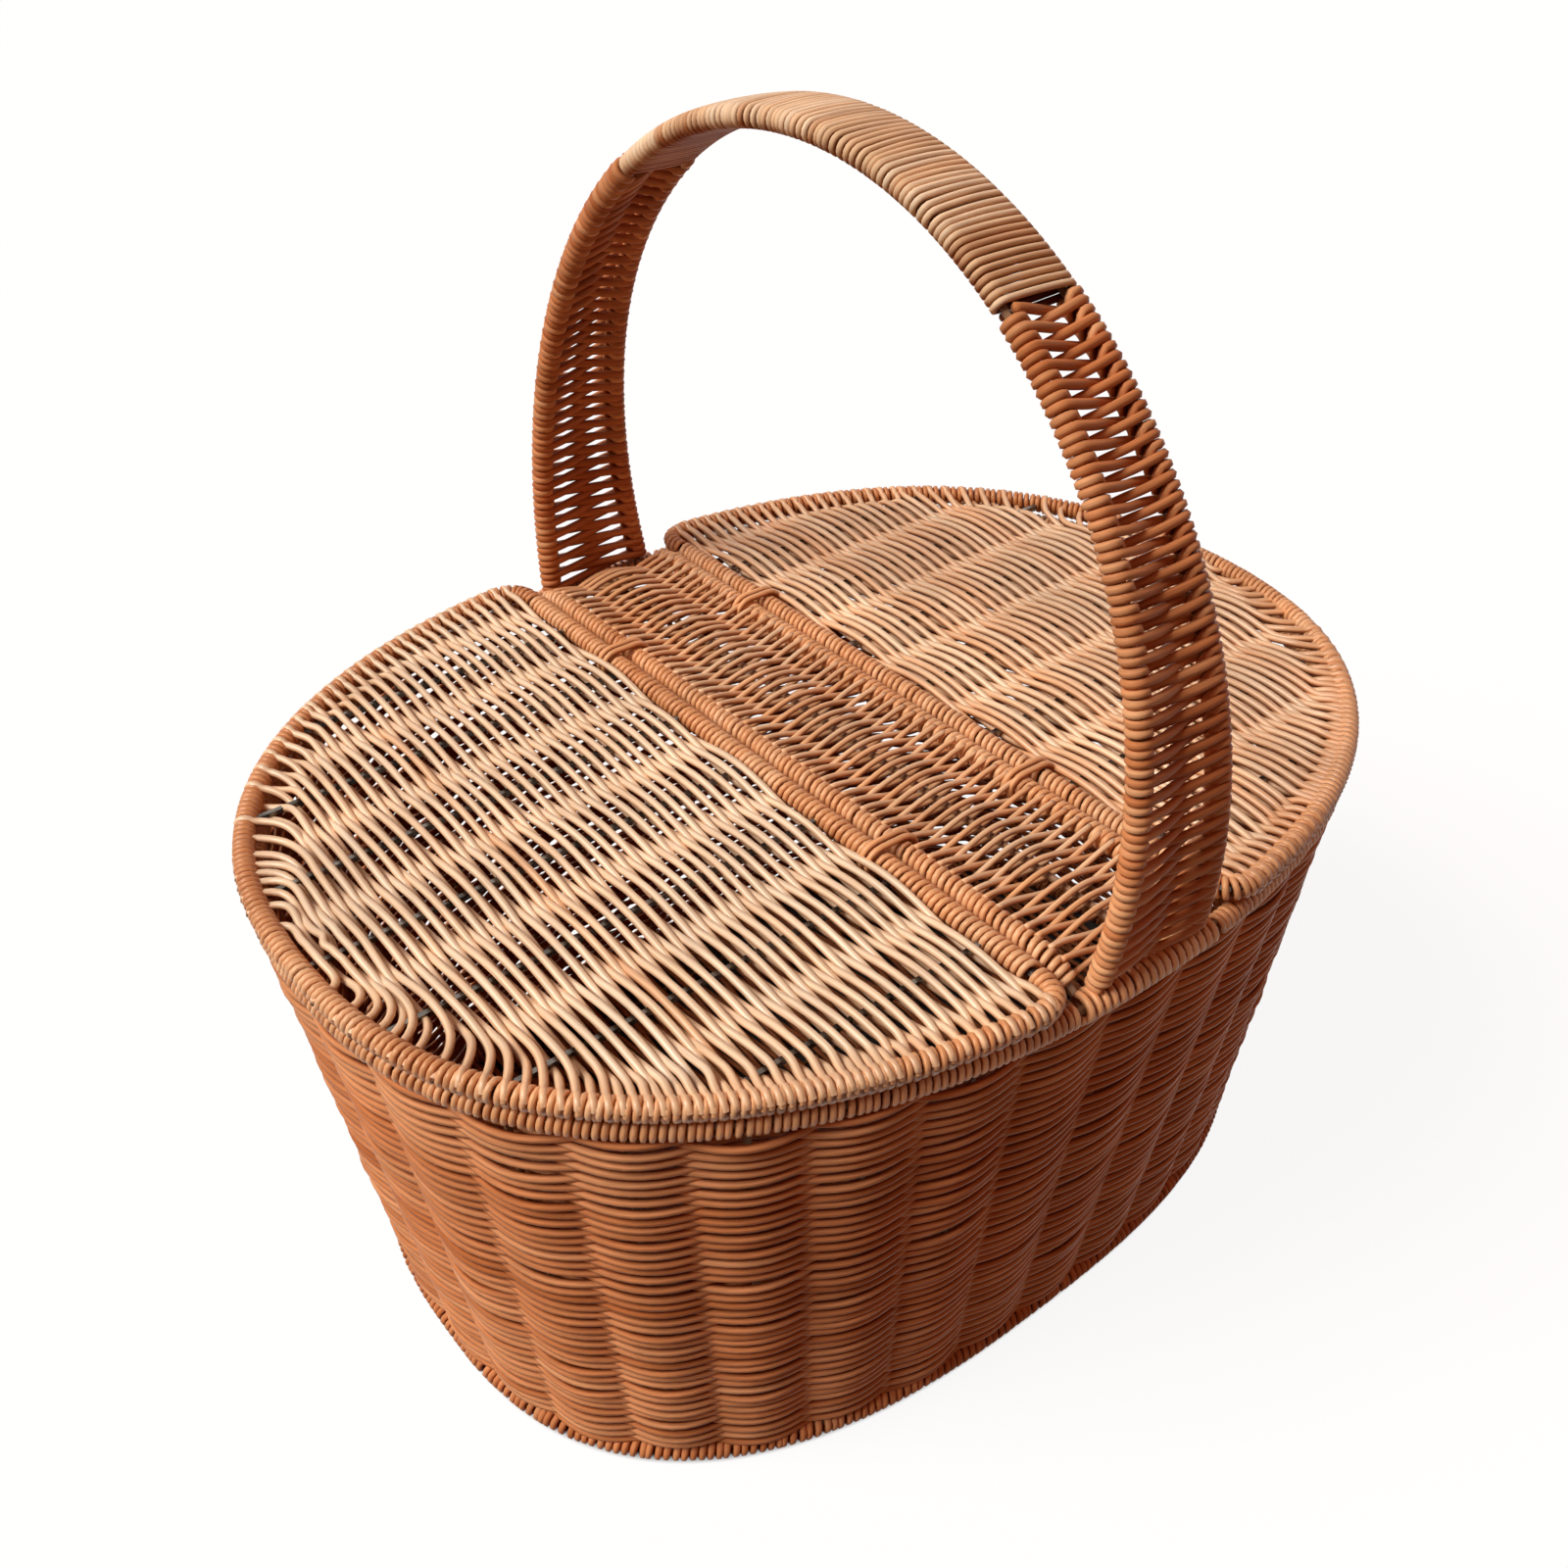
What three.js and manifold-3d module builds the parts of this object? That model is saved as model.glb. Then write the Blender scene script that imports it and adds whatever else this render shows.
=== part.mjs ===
// Oval picnic basket: a strand-woven tub on a welded wire cage, with a fixed bridge and arched handle
// across its middle and two lids that hinge on the bridge. Millimetres, +Z up, origin on the floor
// under the middle. X runs along the oval, Y along the bridge and the hinge lines.
import * as THREE from 'three';
import { mergeVertices } from 'three/addons/utils/BufferGeometryUtils.js';
import Module from 'manifold-3d';

const wasm = await Module();
wasm.setup();

// Stock: the round plastic strand and the steel wires.
const STRAND = 2.6;
const FRAME_WIRE = 3;
const STAKE_WIRE = 2.4;
const HANDLE_WIRE = 2.4;

// Gaps: between pieces that touch, under a closed lid, round a hinge tie and at the handle's feet.
const GAP = 0.3;
const LID_PLAY = 0.4;
const TIE_ROOM = 1.6;
const FOOT_SPACE = 0.8;
const LEG_SPACE = 0.9;

// Half angles over which a winding stands open along the wires that join its rod.
const SLOT_ANGLE = (5 * Math.PI) / 18;
const BASE_SLOT_ANGLE = Math.PI / 2;

// Tub: rim rod and base rod on their centre lines.
const RIM_HALF_LENGTH = 195;
const RIM_HALF_WIDTH = 151;
const RIM_POWER = 2.3;
const RIM_LEVEL = 185.4;
const BASE_HALF_LENGTH = 175.5;
const BASE_HALF_WIDTH = 127.5;
const BASE_POWER = 2.62;
const BASE_WEAVE_LIFT = 1.2;
const BASE_WIRES = 6;
const BASE_WIRE_PITCH = 38;
const WALL_STAKES = 34;
const WALL_INSET = 1;
const WEAVE_THIN = 1.9;
const WEAVE_SKIN = 0.5;

// Lids: how far the rim rod stands out past the tub's, the corner round and the stakes.
const LID_OVERHANG = 1;
const LID_CORNER = 12;
const LID_STAKES = 7;
const LID_STAKE_PITCH = 38;
const LID_STAKE_SHIFT = -4;

// Bridge: half the distance of its rods, their bent ends and the lashing over the tub's rim.
const BRIDGE_HALF = 26.5;
const BRIDGE_BEND = 20;
const BRIDGE_DROP = 6.5;
const BRIDGE_END_HALF = 29.5;
const BRIDGE_END_HEIGHT = 8.8;
const BRIDGE_END_DEPTH = 11.2;
const BRIDGE_END_SHIFT = 1.3;

// Handle: an elliptic arch on nearly straight legs, standing out a little past the rim rod, wider at
// the feet than at the grip; its legs' web is thick beside the rods and thin where the strand crosses.
const ARCH_SPREAD = 0.6;
const ARCH_HEIGHT = 165;
const LEG_HEIGHT = 32;
const FOOT_HALF = 20.4;
const GRIP_HALF = 10;
const HANDLE_TAPER = 1.5;
const GRIP_LENGTH = 181;
const GRIP_TURNS = 24;
const GRIP_STRIP = 2.2;
const GRIP_ROOM = 0.5;
const WEB_EDGE = 6.8;
const WEB_MIDDLE = 3.6;

// Hinge ties: places along the hinge, turns and the pitch of the turns.
const TIE_BACK = 80;
const TIE_FRONT = -69;
const TIE_TURNS = 2;
const TIE_PITCH = 3.1;
const TIE_SLACK = 0.1;

// Facets: sides of wires, windings and strands, courses of weave on the wall and the lids, each of a few
// strands, and steps round the ovals and along the arch; then the samples that lengths and gaps are
// measured on, and the part of a handle line's parameter spent on a leg.
const WIRE_SIDES = 6;
const STAKE_SIDES = 4;
const WRAP_SIDES = 8;
const STRAND_SIDES = 5;
const WALL_COURSES = 13;
const LID_COURSES = 9;
const RING_STEPS = 38;
const LID_STEPS = 20;
const CORNER_STEPS = 4;
const LEG_STEPS = 8;
const ARCH_STEPS = 24;
const RIB_STEPS = 3;
const END_STEPS = 4;
const BEND_STEPS = 2;
const TURN_STEPS = 5;
const OVAL_SAMPLES = 2000;
const ARCH_SAMPLES = 600;
const TURN_SAMPLES = 40;
const LEG_PARAMETER = 0.15;

// Sizes that follow from the ones above.
const WRAP = FRAME_WIRE / 2 + STRAND;
const HANDLE_WRAP = HANDLE_WIRE / 2 + STRAND;
const WEAVE_THICK = STAKE_WIRE / 2 + STRAND;
const WEAVE_COVER = STAKE_WIRE / 2 + GAP + WEAVE_SKIN;
const BORE = FRAME_WIRE / 2 + 2 * GAP;
const BASE_LEVEL = WRAP * Math.cos(Math.PI / WRAP_SIDES);
const BASE_WEAVE_LEVEL = BASE_LEVEL + BASE_WEAVE_LIFT;
const LID_LEVEL = RIM_LEVEL + 2 * WRAP + LID_PLAY;
const HINGE_X = BRIDGE_HALF + 2 * WRAP + GAP;
const BASE_SLOT_MIDDLE = -Math.PI / WRAP_SIDES;
const WALL_BOTTOM = BASE_LEVEL + WRAP * Math.cos(BASE_SLOT_MIDDLE + BASE_SLOT_ANGLE) + GAP;
const WALL_TOP = RIM_LEVEL - (BRIDGE_END_HEIGHT / 2) * Math.cos(Math.PI / WRAP_SIDES) - GAP;
const LEG_BOTTOM = RIM_LEVEL + (BRIDGE_END_HEIGHT / 2) * Math.cos(Math.PI / WRAP_SIDES) + LEG_SPACE;
const FOOT_LEVEL = WALL_TOP + FRAME_WIRE / 2;
const ARCH_HALF = RIM_HALF_WIDTH + ARCH_SPREAD;
const ARCH_BASE = LID_LEVEL + LEG_HEIGHT;
const TIE_PATH = WRAP + GAP + STRAND / 2 + TIE_SLACK;
const TIE_REACH = TIE_PATH + STRAND / 2;
const TIE_HALF = (TIE_TURNS * TIE_PITCH + STRAND) / 2;
const UP = new THREE.Vector3(0, 0, 1);
const ALONG = new THREE.Vector3(0, 1, 0);
const ACROSS = new THREE.Vector3(1, 0, 0);

const STRAND_TAN = 0xd9a876;
const STRAND_CARAMEL = 0xb87744;
const STRAND_RUSSET = 0xa9663a;
const WIRE_BROWN = 0x8a5c38;
const STRAND_ROUGHNESS = 0.45;
const WIRE_ROUGHNESS = 0.5;
const WIRE_METALNESS = 0.2;

// A superellipse in plan, walked by the share of its length.
class Oval {
  constructor(halfLength, halfWidth, power) {
    this.halfLength = halfLength;
    this.halfWidth = halfWidth;
    this.power = power;
    const angle = (i) => (i / OVAL_SAMPLES) * 2 * Math.PI;
    const outline = Array.from({ length: OVAL_SAMPLES + 1 }, (_, i) => this.turn(angle(i)));
    this.outline = outline;
    this.lengths = outline.map(() => 0);
    for (let i = 1; i < outline.length; i += 1) {
      this.lengths[i] = this.lengths[i - 1] + outline[i].distanceTo(outline[i - 1]);
    }
  }

  turn(angle) {
    const c = Math.cos(angle);
    const s = Math.sin(angle);
    const x = this.halfLength * Math.sign(c) * Math.abs(c) ** (2 / this.power);
    const y = this.halfWidth * Math.sign(s) * Math.abs(s) ** (2 / this.power);
    return new THREE.Vector2(x, y);
  }

  at(share) {
    const total = this.lengths[this.lengths.length - 1];
    const reach = (share - Math.floor(share)) * total;
    let i = this.lengths.findIndex((length) => length >= reach);
    i = Math.max(i, 1);
    const span = this.lengths[i] - this.lengths[i - 1];
    return this.outline[i - 1].clone().lerp(this.outline[i], (reach - this.lengths[i - 1]) / span);
  }

  out(point) {
    const slope = (value, half) => (Math.sign(value) * Math.abs(value / half) ** (this.power - 1)) / half;
    return new THREE.Vector2(slope(point.x, this.halfLength), slope(point.y, this.halfWidth)).normalize();
  }

  widthAt(x) {
    return this.halfWidth * (1 - Math.abs(x / this.halfLength) ** this.power) ** (1 / this.power);
  }

  lengthAt(y) {
    return this.halfLength * (1 - Math.abs(y / this.halfWidth) ** this.power) ** (1 / this.power);
  }

  // Share of the length, in the first quarter, at which the outline is x away from the middle.
  shareAt(x) {
    let low = 0;
    let high = 0.25;
    for (let i = 0; i < 50; i += 1) {
      const middle = (low + high) / 2;
      if (this.at(middle).x > x) {
        low = middle;
      } else {
        high = middle;
      }
    }
    return low;
  }

  inset(depth) {
    return new Oval(this.halfLength - depth, this.halfWidth - depth, this.power);
  }
}

const rimOval = new Oval(RIM_HALF_LENGTH, RIM_HALF_WIDTH, RIM_POWER);
const baseOval = new Oval(BASE_HALF_LENGTH, BASE_HALF_WIDTH, BASE_POWER);
const lidOval = rimOval.inset(-LID_OVERHANG);
const FOOT_Y = rimOval.widthAt(FOOT_HALF) - FRAME_WIRE / 2 - HANDLE_WIRE / 2 - FOOT_SPACE;

// Line of one handle wire from the front foot over the arch to the back foot; side is -1, 0 or 1.
class HandleLine extends THREE.Curve {
  constructor(side) {
    super();
    this.side = side;
    this.arcLengthDivisions = ARCH_SAMPLES;
  }

  getPoint(t, target = new THREE.Vector3()) {
    const end = t < 0.5 ? -1 : 1;
    const fromFoot = Math.min(t, 1 - t);
    let y;
    let z;
    if (fromFoot < LEG_PARAMETER) {
      const climb = fromFoot / LEG_PARAMETER;
      z = FOOT_LEVEL + (ARCH_BASE - FOOT_LEVEL) * climb;
      y = FOOT_Y + (ARCH_HALF - FOOT_Y) * Math.sin((climb * Math.PI) / 2);
    } else {
      const sweepAngle = ((fromFoot - LEG_PARAMETER) / (0.5 - LEG_PARAMETER)) * (Math.PI / 2);
      y = ARCH_HALF * Math.cos(sweepAngle);
      z = ARCH_BASE + ARCH_HEIGHT * Math.sin(sweepAngle);
    }
    return target.set(this.side * handleHalf(z), end * y, z);
  }
}

function handleHalf(z) {
  const rise = Math.max(z - LID_LEVEL, 0) / (LEG_HEIGHT + ARCH_HEIGHT);
  return GRIP_HALF + (FOOT_HALF - GRIP_HALF) * Math.max(1 - rise, 0) ** HANDLE_TAPER;
}

// Closed skin over a row of equal rings; without cap triangles the row closes on itself.
function loft(rings, cap) {
  const count = rings[0].length;
  const points = rings.flat();
  const index = [];
  const last = cap ? rings.length - 1 : rings.length;
  for (let i = 0; i < last; i += 1) {
    const here = i * count;
    const next = ((i + 1) % rings.length) * count;
    for (let j = 0; j < count; j += 1) {
      const k = (j + 1) % count;
      index.push(here + j, here + k, next + k, here + j, next + k, next + j);
    }
  }
  if (cap) {
    const end = (rings.length - 1) * count;
    for (const [a, b, c] of cap) {
      index.push(a, c, b, end + a, end + b, end + c);
    }
  }
  const geometry = new THREE.BufferGeometry().setFromPoints(points);
  geometry.setIndex(index);
  return geometry;
}

function circle(radius, sides) {
  const angle = (j) => ((j + 0.5) / sides) * 2 * Math.PI;
  return Array.from({ length: sides }, (_, j) => [radius * Math.cos(angle(j)), radius * Math.sin(angle(j))]);
}

// Section of a winding round a wire, left open over an angle either side of a middle one, where wires join.
function openSleeve(outer, bore, middle, open) {
  const share = 1 - open / Math.PI;
  const arc = (radius, sides) => Array.from({ length: sides + 1 }, (_, j) => {
    const angle = middle + open + (2 * Math.PI * share * j) / sides;
    return [radius * Math.cos(angle), radius * Math.sin(angle)];
  });
  const outside = arc(outer, Math.round(WRAP_SIDES * share));
  const inside = arc(bore, Math.round(WIRE_SIDES * share));
  return [...outside, ...inside.reverse()];
}

// A section carried along points, square to the run, with one axis kept near the lead vector.
function sweep(points, leads, section, closed = false) {
  const count = points.length;
  const outlineAt = (i) => (typeof section === 'function' ? section(i) : section);
  const rings = points.map((point, i) => {
    const before = closed ? points[(i + count - 1) % count] : points[Math.max(i - 1, 0)];
    const after = closed ? points[(i + 1) % count] : points[Math.min(i + 1, count - 1)];
    const ahead = point.clone().sub(before).normalize();
    const onward = after.clone().sub(point).normalize();
    const run = ahead.add(onward).normalize();
    const lead = Array.isArray(leads) ? leads[i] : leads;
    const first = lead.clone().addScaledVector(run, -lead.dot(run)).normalize();
    const second = run.clone().cross(first);
    return outlineAt(i).map(([a, b]) => point.clone().addScaledVector(first, a).addScaledVector(second, b));
  });
  const flat = outlineAt(0).map(([a, b]) => new THREE.Vector2(a, b));
  return solidOf(loft(rings, closed ? null : THREE.ShapeUtils.triangulateShape(flat, [])));
}

function tube(points, lead, radius, sides, closed = false) {
  return sweep(points, lead, circle(radius, sides), closed);
}

// A closed mesh as a solid, its faces turned outward.
function solidOf(geometry) {
  const plain = geometry.clone();
  plain.deleteAttribute('normal');
  plain.deleteAttribute('uv');
  const merged = mergeVertices(plain, 1e-4);
  const vertProperties = new Float32Array(merged.getAttribute('position').array);
  const triVerts = new Uint32Array(merged.getIndex().array);
  const corner = (k) => new THREE.Vector3().fromArray(vertProperties, 3 * triVerts[k]);
  let volume = 0;
  for (let k = 0; k < triVerts.length; k += 3) {
    volume += corner(k).dot(corner(k + 1).cross(corner(k + 2)));
  }
  if (volume < 0) {
    for (let k = 0; k < triVerts.length; k += 3) {
      [triVerts[k], triVerts[k + 1]] = [triVerts[k + 1], triVerts[k]];
    }
  }
  return new wasm.Manifold(new wasm.Mesh({ numProp: 3, vertProperties, triVerts }));
}

function joined(solids) {
  return solids.reduce((whole, solid) => whole.add(solid));
}

function lifted(points, level) {
  return points.map((point) => new THREE.Vector3(point.x, point.y, level));
}

function ovalRun(oval, from, to, steps, level) {
  const share = (i) => from + ((to - from) * i) / steps;
  return lifted(Array.from({ length: steps + 1 }, (_, i) => oval.at(share(i))), level);
}

function ovalLoop(oval, level) {
  return ovalRun(oval, 0, 1, RING_STEPS, level).slice(0, RING_STEPS);
}

// Place on the polygon that stands for an oval rod, at a share of its length.
function onLoop(oval, share) {
  const place = (share - Math.floor(share)) * RING_STEPS;
  const i = Math.floor(place);
  return oval.at(i / RING_STEPS).lerp(oval.at((i + 1) / RING_STEPS), place - i);
}

// A ribbed strip, thick over each rib and thin half-way between, as a section across the ribs.
function ribbedShape(low, high, pitch, shift, thick, level) {
  const steps = Math.ceil(((high - low) / pitch) * 2 * RIB_STEPS);
  const half = (v) => {
    const wave = 0.5 + 0.5 * Math.cos((2 * Math.PI * (v - shift)) / pitch);
    return WEAVE_THIN + (thick - WEAVE_THIN) * wave;
  };
  const places = Array.from({ length: steps + 1 }, (_, i) => low + ((high - low) * i) / steps);
  const upper = places.map((v) => new THREE.Vector2(v, level + half(v)));
  const lower = places.map((v) => new THREE.Vector2(v, level - half(v))).reverse();
  return new THREE.Shape([...upper, ...lower]);
}

function extruded(shape, depth, basis, origin) {
  const geometry = new THREE.ExtrudeGeometry(shape, { depth, bevelEnabled: false, steps: 1 });
  const matrix = new THREE.Matrix4().makeBasis(...basis).setPosition(origin);
  return solidOf(geometry.applyMatrix4(matrix));
}

const ribsAlongX = [ALONG, UP, ACROSS];
const ribsAlongY = [ACROSS, UP, ALONG.clone().negate()];
const standing = [ACROSS, ALONG, UP];

// Welded wire cage of the tub, every wire thicker by grow: rim, base, wall stakes and base wires.
function cage(grow) {
  const rim = tube(ovalLoop(rimOval, RIM_LEVEL), UP, FRAME_WIRE / 2 + grow, WIRE_SIDES, true);
  const base = tube(ovalLoop(baseOval, BASE_LEVEL), UP, FRAME_WIRE / 2 + grow, WIRE_SIDES, true);
  const stakes = Array.from({ length: WALL_STAKES }, (_, k) => {
    const share = 0.75 + k / WALL_STAKES;
    const foot = lifted([onLoop(baseOval, share)], BASE_LEVEL);
    const head = lifted([onLoop(rimOval, share)], RIM_LEVEL);
    return tube([...foot, ...head], ACROSS, STAKE_WIRE / 2 + grow, STAKE_SIDES);
  });
  const crossing = baseWirePlaces().map((y) => {
    const reach = baseOval.lengthAt(y);
    const ends = [-reach, reach].map((x) => new THREE.Vector3(x, y, BASE_WEAVE_LEVEL));
    return tube(ends, UP, STAKE_WIRE / 2 + grow, STAKE_SIDES);
  });
  return joined([rim, base, ...stakes, ...crossing]);
}

function baseWirePlaces() {
  return Array.from({ length: BASE_WIRES }, (_, k) => (k - (BASE_WIRES - 1) / 2) * BASE_WIRE_PITCH);
}

// Distance of a woven face from the stakes' line: in front of a stake on every other course, behind it on
// the rest, staggered from stake to stake, and thin half-way between; column counts half pitches.
function weaveReach(column, course) {
  if (column % 2 !== 0) {
    return WEAVE_THIN;
  }
  return Math.abs(column / 2 + course) % 2 === 0 ? WEAVE_THICK : WEAVE_COVER;
}

// Woven wall of the tub, ruled from base to rim: the weave's relief outside, ribs over the stakes inside.
function sideWeave() {
  const topOval = rimOval.inset(WALL_INSET);
  const bottomOval = baseOval.inset(WALL_INSET);
  const columns = 2 * WALL_STAKES;
  const rings = Array.from({ length: columns }, (_, i) => {
    const share = 0.75 + i / columns;
    const top = topOval.at(share);
    const bottom = bottomOval.at(share);
    const onStake = i % 2 === 0;
    const place = (climb, reach) => {
      const out = bottomOval.out(bottom).lerp(topOval.out(top), climb);
      const at = bottom.clone().lerp(top, climb).addScaledVector(out, reach);
      return new THREE.Vector3(at.x, at.y, WALL_BOTTOM + (WALL_TOP - WALL_BOTTOM) * climb);
    };
    const outside = Array.from({ length: WALL_COURSES + 1 }, (_, j) => {
      const reach = weaveReach(i, j) + (onStake ? WALL_INSET : 0);
      return place(j / WALL_COURSES, reach);
    });
    const inside = onStake ? WEAVE_THICK : WEAVE_THIN;
    return [place(0, -inside), ...outside, place(1, -inside)];
  });
  return solidOf(loft(rings, null)).subtract(cage(GAP));
}

// Woven floor of the tub, inside the base rod.
function baseWeave() {
  const plan = baseOval.inset(WALL_INSET + WEAVE_THICK + GAP);
  const half = plan.halfWidth;
  const shift = baseWirePlaces()[0];
  const ribs = ribbedShape(-half, half, BASE_WIRE_PITCH, shift, WEAVE_THICK, BASE_WEAVE_LEVEL);
  const start = new THREE.Vector3(-plan.halfLength, 0, 0);
  const strip = extruded(ribs, 2 * plan.halfLength, ribsAlongX, start);
  const outline = Array.from({ length: RING_STEPS }, (_, i) => plan.at((i + 0.5) / RING_STEPS));
  const under = new THREE.Vector3(0, 0, -RIM_LEVEL);
  const prism = extruded(new THREE.Shape(outline), 2 * RIM_LEVEL, standing, under);
  return strip.intersect(prism).subtract(cage(GAP));
}

// Wound strand round the base rod, open along the stakes and flat where the tub stands.
function baseBinding() {
  const section = openSleeve(WRAP, BORE, BASE_SLOT_MIDDLE, BASE_SLOT_ANGLE);
  return sweep(ovalLoop(baseOval, BASE_LEVEL), UP, section, true);
}

// Wound strand round the tub's rim under one lid, open along the stakes; side is -1 or 1.
function rimBinding(side) {
  const reach = rimOval.shareAt(BRIDGE_END_HALF + GAP);
  const middle = side > 0 ? 0 : 0.5;
  const corners = Math.floor(reach * RING_STEPS);
  const between = Array.from({ length: 2 * corners + 1 }, (_, i) => middle + (i - corners) / RING_STEPS);
  const shares = [middle - reach, ...between, middle + reach];
  const run = lifted(shares.map((share) => onLoop(rimOval, share)), RIM_LEVEL);
  return sweep(run, UP, openSleeve(WRAP, BORE, Math.PI, SLOT_ANGLE));
}

// Strand lashed over the rim, the handle's feet and the bridge's ends; end is -1 at the front.
function bridgeEndBinding(end) {
  const half = 0.25 - rimOval.shareAt(BRIDGE_END_HALF);
  const middle = end > 0 ? 0.25 : 0.75;
  const path = rimOval.inset(BRIDGE_END_SHIFT);
  const run = ovalRun(path, middle - half, middle + half, END_STEPS, RIM_LEVEL);
  const round = circle(0.5, WRAP_SIDES);
  const section = round.map(([a, b]) => [a * BRIDGE_END_HEIGHT, b * BRIDGE_END_DEPTH]);
  const block = sweep(run, UP, section);
  const rods = [-1, 1].flatMap((side) => [handleRod(side, GAP), bridgeRod(side, GAP)]);
  return block.subtract(joined([cage(GAP), bridgeWire(GAP), ...rods]));
}

// Line of a bridge wire at x, its ends bent down to the tub's rim.
function bridgeLine(x) {
  const flat = FOOT_Y - BRIDGE_BEND;
  const tip = FOOT_Y - FRAME_WIRE / 2;
  const start = new THREE.Vector3(x, flat, LID_LEVEL);
  const knee = new THREE.Vector3(x, (flat + tip) / 2, LID_LEVEL);
  const foot = new THREE.Vector3(x, tip, LID_LEVEL - BRIDGE_DROP);
  const back = new THREE.QuadraticBezierCurve3(start, knee, foot).getPoints(BEND_STEPS);
  const front = back.map((point) => new THREE.Vector3(x, -point.y, point.z)).reverse();
  return [...front, ...back];
}

function bridgeRod(side, grow) {
  return tube(bridgeLine(side * BRIDGE_HALF), ACROSS, FRAME_WIRE / 2 + grow, WIRE_SIDES);
}

function bridgeWire(grow) {
  return tube(bridgeLine(0), ACROSS, STAKE_WIRE / 2 + grow, WIRE_SIDES);
}

// Wound strand on one rod of the bridge, clear of the handle's feet.
function bridgeEdgeBinding(side) {
  const limit = FOOT_Y - HANDLE_WRAP - FRAME_WIRE / 2;
  const line = bridgeLine(side * BRIDGE_HALF);
  const last = line.length - 1;
  const tips = [[0, 1], [last, last - 1]].map(([outer, inner]) => {
    const reach = Math.abs(line[inner].y);
    return line[inner].clone().lerp(line[outer], (limit - reach) / (Math.abs(line[outer].y) - reach));
  });
  const run = [tips[0], ...line.slice(1, last), tips[1]];
  return tube(run, ACROSS, WRAP, WRAP_SIDES).subtract(bridgeRod(side, GAP));
}

// Woven strip of the bridge between its rods, notched where the hinge ties pass.
function bridgeWeave() {
  const reach = BRIDGE_HALF - WRAP - GAP;
  const length = FOOT_Y - HANDLE_WRAP - GAP;
  const ribs = ribbedShape(-reach, reach, BRIDGE_HALF, 0, WEAVE_THICK, LID_LEVEL);
  const strip = extruded(ribs, 2 * length, ribsAlongY, new THREE.Vector3(0, length, 0));
  const notches = [-1, 1].flatMap((side) => tieNotches(side * BRIDGE_HALF, TIE_REACH + GAP));
  return strip.subtract(joined(notches)).subtract(bridgeWire(GAP));
}

// Round notches about a rod at x, one for each hinge tie.
function tieNotches(x, radius) {
  const half = TIE_HALF + 2 * GAP;
  return [TIE_FRONT, TIE_BACK].map((y) => {
    const ends = [y - half, y + half].map((place) => new THREE.Vector3(x, place, LID_LEVEL));
    return tube(ends, UP, radius, 2 * WRAP_SIDES);
  });
}

function handleRun(side, from, to, steps) {
  const line = new HandleLine(side);
  return Array.from({ length: steps + 1 }, (_, i) => line.getPointAt(from + ((to - from) * i) / steps));
}

function handleRod(side, grow) {
  return tube(handleRun(side, 0, 1, ARCH_STEPS), ACROSS, HANDLE_WIRE / 2 + grow, WIRE_SIDES);
}

// Shares of a handle line's length at which a leg's weave starts and ends; end is -1 at the front.
function legSpan(side, end) {
  const length = new HandleLine(side).getLength();
  const start = (LEG_BOTTOM - FOOT_LEVEL) / length;
  const stop = 0.5 - (GRIP_LENGTH / 2 + GAP) / length;
  return end < 0 ? [start, stop] : [1 - start, 1 - stop];
}

function handleEdgeBinding(side, end) {
  const [start, stop] = legSpan(side, end);
  const sleeve = tube(handleRun(side, start, stop, LEG_STEPS), ACROSS, HANDLE_WRAP, WRAP_SIDES);
  return sleeve.subtract(handleRod(side, GAP));
}

// Web of one leg between its rods, where the strand runs in a figure of eight round both.
function handleWeb(end) {
  const [start, stop] = legSpan(0, end);
  const run = handleRun(0, start, stop, LEG_STEPS);
  const section = (i) => {
    const reach = handleHalf(run[i].z) - HANDLE_WRAP - GAP;
    const edge = WEB_EDGE / 2;
    const middle = WEB_MIDDLE / 2;
    return [[-reach, -edge], [0, -middle], [reach, -edge], [reach, edge], [0, middle], [-reach, edge]];
  };
  return sweep(run, ACROSS, section);
}

// Flat strip that carries on between the rods under the grip's winding.
function handleWebTop() {
  const length = new HandleLine(0).getLength();
  const share = GRIP_LENGTH / 2 / length;
  const run = handleRun(0, 0.5 - share, 0.5 + share, LEG_STEPS);
  const section = (i) => {
    const reach = handleHalf(run[i].z) - HANDLE_WIRE / 2 - GAP;
    const edge = GRIP_STRIP / 2;
    return [[-reach, -edge], [reach, -edge], [reach, edge], [-reach, edge]];
  };
  return sweep(run, ACROSS, section);
}

// One turn round two parallel rods, as places on a long ring of the given half length and radius.
function longRing(half, radius, steps) {
  const arc = (middle, from) => Array.from({ length: steps + 1 }, (_, j) => {
    const angle = from + (Math.PI * j) / steps;
    return [middle + radius * Math.cos(angle), radius * Math.sin(angle)];
  });
  return [...arc(half, -Math.PI / 2), ...arc(-half, Math.PI / 2)];
}

// Least clear distance between parts of a tube's line that lie more than half a turn apart.
function leastGap(points, turns, diameter) {
  const line = new THREE.CurvePath();
  for (let i = 1; i < points.length; i += 1) {
    line.add(new THREE.LineCurve3(points[i - 1], points[i]));
  }
  const spaced = line.getSpacedPoints(turns * TURN_SAMPLES);
  let least = Infinity;
  for (let i = 0; i < spaced.length; i += 1) {
    for (let j = i + TURN_SAMPLES / 2; j < spaced.length; j += 1) {
      least = Math.min(least, spaced[i].distanceTo(spaced[j]));
    }
  }
  return least - diameter;
}

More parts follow.
